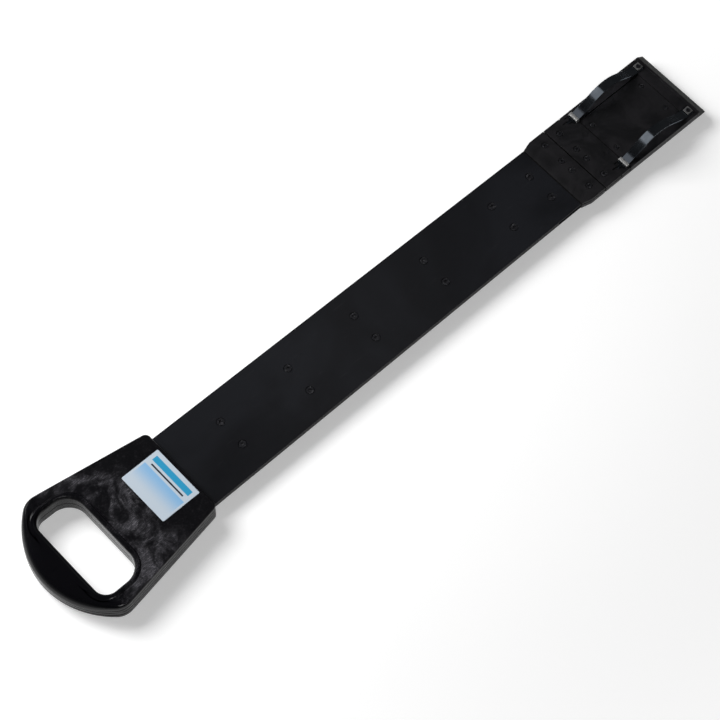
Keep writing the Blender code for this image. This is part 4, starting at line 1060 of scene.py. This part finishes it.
def screwHoles(nodes, low, values):
    # clean countersunk bores over the faceted ones
    bm = bmesh.new()
    mouth = values["mouth"]
    for node in nodes:
        screwLow, screwHigh = boxOf(node)
        top = screwHigh.z
        radius = (screwHigh.x - screwLow.x) / 2
        head = radius + values["clearance"]
        shank = shankShare * radius + values["shankClearance"]
        profile = [(shank, low - values["past"]), (shank, top - values["coneFoot"]),
                   (head, top - values["coneTop"]), (head, top - mouth),
                   (head + mouth, top), (head + mouth, top + mm)]
        turnedBody(bm, profile, (middle(node).x, middle(node).y, 0), segments=48)
    return bm


def makePlates():
    plate = easedPiece("blade_top", "blade_top_plate", bladeBlack, 0.22 * mm, 6 * mm)
    combined(plate, screwHoles(screwNodes["blade_screws"], bladeLow.z, holeValues))
    placed(plate, "probe", "blade_plate", "blade_top_plate")
    core = easedPiece("blade_core_stack", "blade_core", coreGrey, 0.15 * mm, 6 * mm)
    placed(core, "probe", "core_plastic", "blade_core")
    plate = easedPiece("blade_bottom", "blade_bottom_plate", bladeBlack, 0.3 * mm, 6 * mm)
    placed(plate, "probe", "blade_plate", "blade_bottom_plate")


makePlates()


clipValues = {
    "sheet": 0.7 * mm,
    "roofDrop": 0.15 * mm,
    "roofThick": 0.35 * mm,
    "bulge": 0.9 * mm,           # of the rolled roof
    "shoulder": (0.35 * mm, 0.25 * mm, 0.9 * mm),      # rounded by two flats: in, down, and the whole
}

railValues = {
    "ease": 0.3 * mm,
    "corner": 0.4 * mm,
    "innerCorner": 1.3 * mm,
    "troughWidth": 11.0 * mm,
    "troughPast": 4.7 * mm,      # beyond the rivet
    "clearance": 0.3 * mm,
    "rivetHole": 1.5 * mm,
}


def easedPrism(bm, outline, low, high, ease):
    rings = []
    for inset, z in ((0.0, low), (0.0, high - ease), (0.3 * ease, high - 0.3 * ease), (ease, high)):
        rings.append([(x, y, z) for x, y in insetOutline(outline, [inset] * len(outline))])
    skinRings(bm, rings)


def makeRails(values):
    # the U-shaped top frame, with a trough under each bow and slots for the clips' legs
    low, high = boxOf("head_frame")
    lidHigh = boxOf("sensor_cover")[1]
    gap = values["clearance"]
    inner, bar = lidHigh.y + gap, lidHigh.x + gap
    outside, inside = values["corner"], values["innerCorner"]
    corners = [(low.x, low.y, 0), (high.x, low.y, outside), (high.x, high.y, outside), (low.x, high.y, 0),
               (low.x, inner, 0), (bar, inner, inside), (bar, -inner, inside), (low.x, -inner, 0)]
    bm = bmesh.new()
    easedPrism(bm, roundedOutline(corners, math.radians(15)), low.z, high.z, values["ease"])
    rails = pieceFrom("top_frame", meshFrom(bm, "top_frame"), headBlack)
    troughs = bmesh.new()
    holes = bmesh.new()
    hole = values["rivetHole"]
    for side in sides:
        rivet = jointPlace(f"{side}_spring_press")
        reach = values["troughWidth"] / 2
        boxBody(troughs, (low.x - mm, rivet.y - reach, lidHigh.z),
                (rivet.x + values["troughPast"], rivet.y + reach, high.z + mm))
        turnedBody(holes, [(hole, low.z - mm), (hole, high.z)], (rivet.x, rivet.y, 0))
        clipLow, clipHigh = boxOf(f"{side}_clip")
        wall = clipValues["sheet"] + gap
        for near, far in ((clipLow.y - gap, clipLow.y + wall), (clipHigh.y - wall, clipHigh.y + gap)):
            boxBody(holes, (low.x - mm, near, low.z - mm), (clipHigh.x + gap, far, high.z + mm))
    combined(rails, troughs)
    combined(rails, holes)
    placed(rails, "head", "head_body", "head_frame")


def makeLid():
    low, high = boxOf("sensor_cover")
    bm = bmesh.new()
    easedPrism(bm, rectangleOutline(low, high, mm), low.z, high.z, 0.55 * mm)
    lid = pieceFrom("sensor_lid", meshFrom(bm, "sensor_lid"), headBlack)
    combined(lid, screwHoles(screwNodes["cover_screws"], low.z, holeValues))
    placed(lid, "head", "head_body", "sensor_cover")


def makeNeck():
    block = easedPiece("neck_body", "neck_block", headBlack, 0.2 * mm, 60 * mm)
    placed(block, "probe", "head_body", "neck_block")
    cover = easedPiece("neck_top", "neck_cover", headBlack, 0.4 * mm)
    combined(cover, screwHoles(screwNodes["neck_screws"], boxOf("neck_cover")[0].z, holeValues))
    placed(cover, "probe", "head_body", "neck_cover")


notchValues = {"deep": 1.1 * mm, "from": 13.2 * mm, "to": 11.8 * mm}      # from the cover's front edge


def cutNotches(cover, values):
    # one across each side of the rear cover
    low, high = boxOf("head_rear_cover")
    notches = bmesh.new()
    for side in (1, -1):
        near, far = sorted((side * (high.y - values["deep"]), side * (high.y + mm)))
        boxBody(notches, (high.x - values["from"], near, low.z - mm),
                (high.x - values["to"], far, high.z + mm))
    combined(cover, notches)


def makeHead():
    base = easedPiece("head_body", "head_base", headBlack, 0.4 * mm)
    placed(base, "head", "head_body", "head_base")
    cover = easedPiece("rear_cover", "head_rear_cover", headBlack, 0.5 * mm)
    combined(cover, screwHoles(screwNodes["rear_screws"], boxOf("head_rear_cover")[0].z, holeValues))
    cutNotches(cover, notchValues)
    placed(cover, "head", "head_body", "head_rear_cover")
    makeRails(railValues)
    makeLid()
    plate = easedPiece("electrode", "sensor_plate", electrodeSteel, 0.2 * mm, 0.5 * mm)
    placed(plate, "head", "electrode", "sensor_plate")


makeNeck()
makeHead()
print("blade, neck and head made")


bowValues = {
    "tab": 3.7 * mm,             # flat on each side of the rivet
    "foot": 3.0 * mm,            # flat before the near end rises
    "shoulder": 3.5 * mm,        # from there back to where the strip narrows
    "tongue": 2.4 * mm,          # width that runs through the clip
    "power": 1.6,                # higher is a sharper crown
    "crownBlend": 9.0 * mm,
    "rootBlend": 16.0 * mm,
    "round": 0.18 * mm,
    "endCorner": 0.8 * mm,
    "steps": 60,
}


def makeSpring(side, values):
    root = jointPlace(f"{side}_spring_press")
    crown = jointPlace(f"{side}_spring_flex")
    nearLow, nearHigh = boxOf(f"{side}_spring_near")
    thickness = 2 * (root.z - boxOf(f"{side}_spring_far")[0].z)
    height = crown.z - root.z
    footX = 2 * crown.x - root.x
    riseX = footX + values["foot"]
    tabX = root.x - values["tab"]
    shoulderX = riseX - values["shoulder"]

    def lift(x):
        if x <= riseX or x >= tabX:
            return 0.0
        reach = tabX - crown.x if x > crown.x else crown.x - riseX
        return height * max(0.0, math.cos(math.pi / 2 * abs(x - crown.x) / reach)) ** values["power"]

    def ring(x, half):
        slope = math.atan2(lift(x + 0.1 * mm) - lift(x - 0.1 * mm), 0.2 * mm)
        up = Vector((-math.sin(slope), 0, math.cos(slope)))
        centre = Vector((x, root.y, root.z + lift(x)))
        corner = values["round"]
        points = []
        for across, rise in ((-1, -1), (1, -1), (1, 1), (-1, 1)):
            long = centre + Vector((0, across * half, 0)) + up * (rise * (thickness / 2 - corner))
            short = centre + Vector((0, across * (half - corner), 0)) + up * (rise * thickness / 2)
            points += [long, short] if across * rise > 0 else [short, long]
        return points

    def strip(name, stations):
        bm = bmesh.new()
        skinRings(bm, [ring(x, half) for x, half in stations])
        piece = pieceFrom(name, meshFrom(bm, name), springBlue)
        smoothed(piece.data, 40)
        return piece

    half = (nearHigh.y - nearLow.y) / 2
    joinX = crown.x + values["crownBlend"]
    steps, corner = values["steps"], values["endCorner"]
    end = root.x + values["tab"]
    far = [(joinX + (tabX - joinX) * i / steps, half) for i in range(steps + 1)]
    far += [(root.x, half), (end - corner, half), (end, half - corner)]
    farPiece = strip(f"{side}_spring_front_strip", far)
    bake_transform(farPiece)
    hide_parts(f"{side}_spring_far")

    tongue = values["tongue"] / 2
    near = [(nearLow.x, tongue * 0.6), (nearLow.x + 0.6 * mm, tongue), (shoulderX - 1.4 * mm, tongue),
            (shoulderX - 0.9 * mm, tongue + 0.6 * mm), (shoulderX - 0.3 * mm, half - corner),
            (shoulderX, half)]
    near += [(riseX + (joinX - riseX) * i / (steps + 12), half) for i in range(steps + 13)]
    nearPiece = strip(f"{side}_spring_rear_strip", near)
    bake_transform(nearPiece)
    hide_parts(f"{side}_spring_near")


def makeClip(side, values):
    # a staple of thin sheet whose roof is rolled into half a barrel
    low, high = boxOf(f"{side}_clip")
    centre = middle(f"{side}_clip")
    outer = (high.y - low.y) / 2
    inner = outer - values["sheet"]
    roof = high.z - values["sheet"] - values["roofDrop"]
    across, drop, shoulder = values["shoulder"]
    stations = 10
    rings = []
    for i in range(stations + 1):
        angle = math.pi * i / stations
        x = centre.x - (high.x - low.x) / 2 * math.cos(angle)
        top = roof + values["roofThick"] + values["bulge"] * math.sin(angle)
        half = [(inner, roof), (inner, low.z), (outer, low.z), (outer, top - shoulder),
                (outer - across, top - drop), (outer - shoulder, top)]
        outline = half + [(-y, z) for y, z in reversed(half)]
        rings.append([(x, centre.y + y, z) for y, z in outline])
    bm = bmesh.new()
    skinRings(bm, rings)
    name = f"{side}_spring_clip"
    placed(pieceFrom(name, meshFrom(bm, name), brightSteel), "head", "bright_steel", f"{side}_clip")


def makeWasher(side):
    washer = easedPiece(f"{side}_plate_washer", f"{side}_washer", washerGrey, 0.18 * mm, 3 * mm)
    placed(washer, "head", "bright_steel", f"{side}_washer")


for side in sides:
    makeSpring(side, bowValues)
    makeClip(side, clipValues)
    makeWasher(side)


def makeLeaf():
    # one strip of spring steel across the gap between the neck and the head, with close rings at the gap
    low, high = boxOf("hinge_leaf")
    steps = 24
    bend = 0.5 * mm
    stations = [low.x, hingeX - 4 * bend]
    stations += [hingeX + bend * (2 * i / steps - 1) for i in range(steps + 1)]
    stations += [hingeX + 4 * bend, high.x]
    bm = bmesh.new()
    skinRings(bm, [[(x, low.y, low.z), (x, high.y, low.z), (x, high.y, high.z), (x, low.y, high.z)]
                   for x in stations])
    piece = pieceFrom("hinge_strip", meshFrom(bm, "hinge_strip"), springBlue)
    smoothed(piece.data)
    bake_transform(piece)
    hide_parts("hinge_leaf")


makeLeaf()


jackValues = {
    "bore": 3.9 * mm,
    "halfHeight": 0.9 * mm,
    "chamfer": (0.5 * mm, 0.1 * mm, 0.3 * mm),      # in at the face, in at its foot, down
    "mouth": 0.3 * mm,
    "knurls": 24,
    "knurlDepth": 0.25 * mm,
}


def makeJack(values):
    socket = easedPiece("plug_socket", "jack_socket", jackBlack, 0.2 * mm, 4 * mm)
    placed(socket, "probe", "black_shell", "jack_socket")
    place, turn = jackPose()
    pose = Matrix.Translation(place) @ turn
    low, high = boxOf("jack_nut")
    outer = (high.z - low.z) / 2
    bore, tall = values["bore"], values["halfHeight"]
    wide, slim, drop = values["chamfer"]
    profile = [(bore, -tall), (outer - wide, -tall), (outer - slim, -tall + drop), (outer, 0.0),
               (outer - slim, tall - drop), (outer - wide, tall), (bore + values["mouth"], tall),
               (bore, tall - values["mouth"])]
    rings = []
    for radius, height in profile:
        ring = []
        for i in range(2 * values["knurls"]):
            angle = math.pi * i / values["knurls"]
            knurled = radius > outer - 0.2 * mm and i % 2
            reach = radius - values["knurlDepth"] if knurled else radius
            ring.append(pose @ Vector((reach * math.cos(angle), reach * math.sin(angle), height)))
        rings.append(ring)
    bm = bmesh.new()
    skinRings(bm, rings, closed=True)
    nut = pieceFrom("socket_nut", meshFrom(bm, "socket_nut"), brightSteel)
    placed(nut, "probe", "bright_steel", "jack_nut")


makeJack(jackValues)


def dressHidden():
    # what sits inside keeps its CAD shape and only gets a finish
    finishes = {"cable_saddle": coreGrey, "signal_cable": cableBlack, "sensor_lead": cableBlack,
                "sensor_board": boardGreen}
    for node, finish in finishes.items():
        for slot in frame["nodes"][node].material_slots:
            slot.material = finish


dressHidden()
print("springs, jack and hidden pieces made")


# the studio is a pale floor, a soft world and four lamps
studioValues = {
    "floor": (0.8, 0.8, 0.8),
    "floorSize": 12.0,
    "floorLift": 0.34,
    "farLift": 0.7,            # added for the camera only, away from the object
    "farFrom": 0.3,
    "farTo": 1.3,
    "horizon": 0.4,
    "zenith": 0.03,
}


def makeFloor(values):
    bm = bmesh.new()
    bmesh.ops.create_grid(bm, x_segments=1, y_segments=1, size=values["floorSize"])
    mesh = meshFrom(bm, "floor", turnOut=False)
    made = bpy.data.materials.new("floor")
    made.use_nodes = True
    tree = made.node_tree
    tree.nodes.clear()
    begin = Field(tree)
    seen = begin.make("ShaderNodeLightPath", {}, {}, "Is Camera Ray")
    mirrored = begin.make("ShaderNodeLightPath", {}, {}, "Is Glossy Ray")
    through = begin.make("ShaderNodeLightPath", {}, {}, "Is Transmission Ray")
    direct = seen.math("MAXIMUM", mirrored).math("MAXIMUM", through)
    matte = begin.make("ShaderNodeBsdfDiffuse", {}, {"Color": (*values["floor"], 1.0)})
    place = begin.make("ShaderNodeTexCoord", {}, {}, "Object")
    reach = place.make("ShaderNodeVectorMath", {"operation": "LENGTH"}, {0: place}, "Value")
    far = seen * reach.step(values["farFrom"], values["farTo"]) * values["farLift"]
    lift = begin.make("ShaderNodeEmission", {}, {"Strength": direct * values["floorLift"] + far})
    both = begin.make("ShaderNodeAddShader", {}, {0: matte, 1: lift})
    end = tree.nodes.new("ShaderNodeOutputMaterial")
    tree.links.new(both.out, end.inputs["Surface"])
    floor = pieceFrom("floor", mesh, made)
    floor.location.z = cadLow[2] - 0.1 * mm


def makeWorld(values):
    world = bpy.data.worlds.new("studio")
    bpy.context.scene.world = world
    world.use_nodes = True
    tree = world.node_tree
    back = tree.nodes["Background"]
    begin = Field(tree)
    look = begin.make("ShaderNodeTexCoord", {}, {}, "Generated")
    dark, pale = values["zenith"], values["horizon"]
    lit = (1.0 - look.axis("Z").step(0.05, 0.5)) * (1.0 - look.axis("X").step(0.15, 0.6))
    room = lit * (pale - dark) + dark
    seen = begin.make("ShaderNodeLightPath", {}, {}, "Is Camera Ray")
    strength = seen + (1.0 - seen) * room
    tree.links.new(strength.out, back.inputs["Strength"])
    back.inputs["Color"].default_value = (1.0, 1.0, 1.0, 1.0)


lampValues = {
    "key": {"aim": (0, 0, 0), "towards": (-0.4, 1.05, 0.85), "away": 1.7,
            "size": (1.3, 0.9), "power": 41.0, "mirrored": False},
    "bows": {"aim": (0.34, 0, 0.03), "towards": (-0.208, 0.345, 0.915), "away": 0.7,
             "size": (0.3, 0.3), "power": 0.14, "mirrored": True},
    "flash": {"aim": (0, 0, 0), "towards": (-0.34, -0.39, 0.86), "away": 2.6,
              "size": (0.75, 0.45), "power": 9.0, "mirrored": True},
    "rim": {"aim": (-0.33, 0, 0.03), "towards": (-0.147, 0.824, 0.549), "away": 1.5,
            "size": (0.5, 0.2), "power": 2.0, "mirrored": True},
}


def makeLamps(values):
    # the key lamp only lights, while the small ones are what the glossy parts mirror
    for name, lamp in values.items():
        data = bpy.data.lights.new(name, "AREA")
        data.shape = "RECTANGLE"
        data.size, data.size_y = lamp["size"]
        data.energy = lamp["power"]
        made = bpy.data.objects.new(name, data)
        bpy.context.collection.objects.link(made)
        towards = Vector(lamp["towards"]).normalized()
        across = Vector((0, 1, 0)).cross(towards).normalized()
        made.matrix_world = Matrix((across, towards.cross(across), towards)).transposed().to_4x4()
        made.location = Vector(lamp["aim"]) + towards * lamp["away"]
        made.visible_glossy = lamp["mirrored"]
        made.visible_camera = False


makeFloor(studioValues)
makeWorld(studioValues)
makeLamps(lampValues)
bpy.context.scene.view_settings.view_transform = "Standard"
print("studio made")
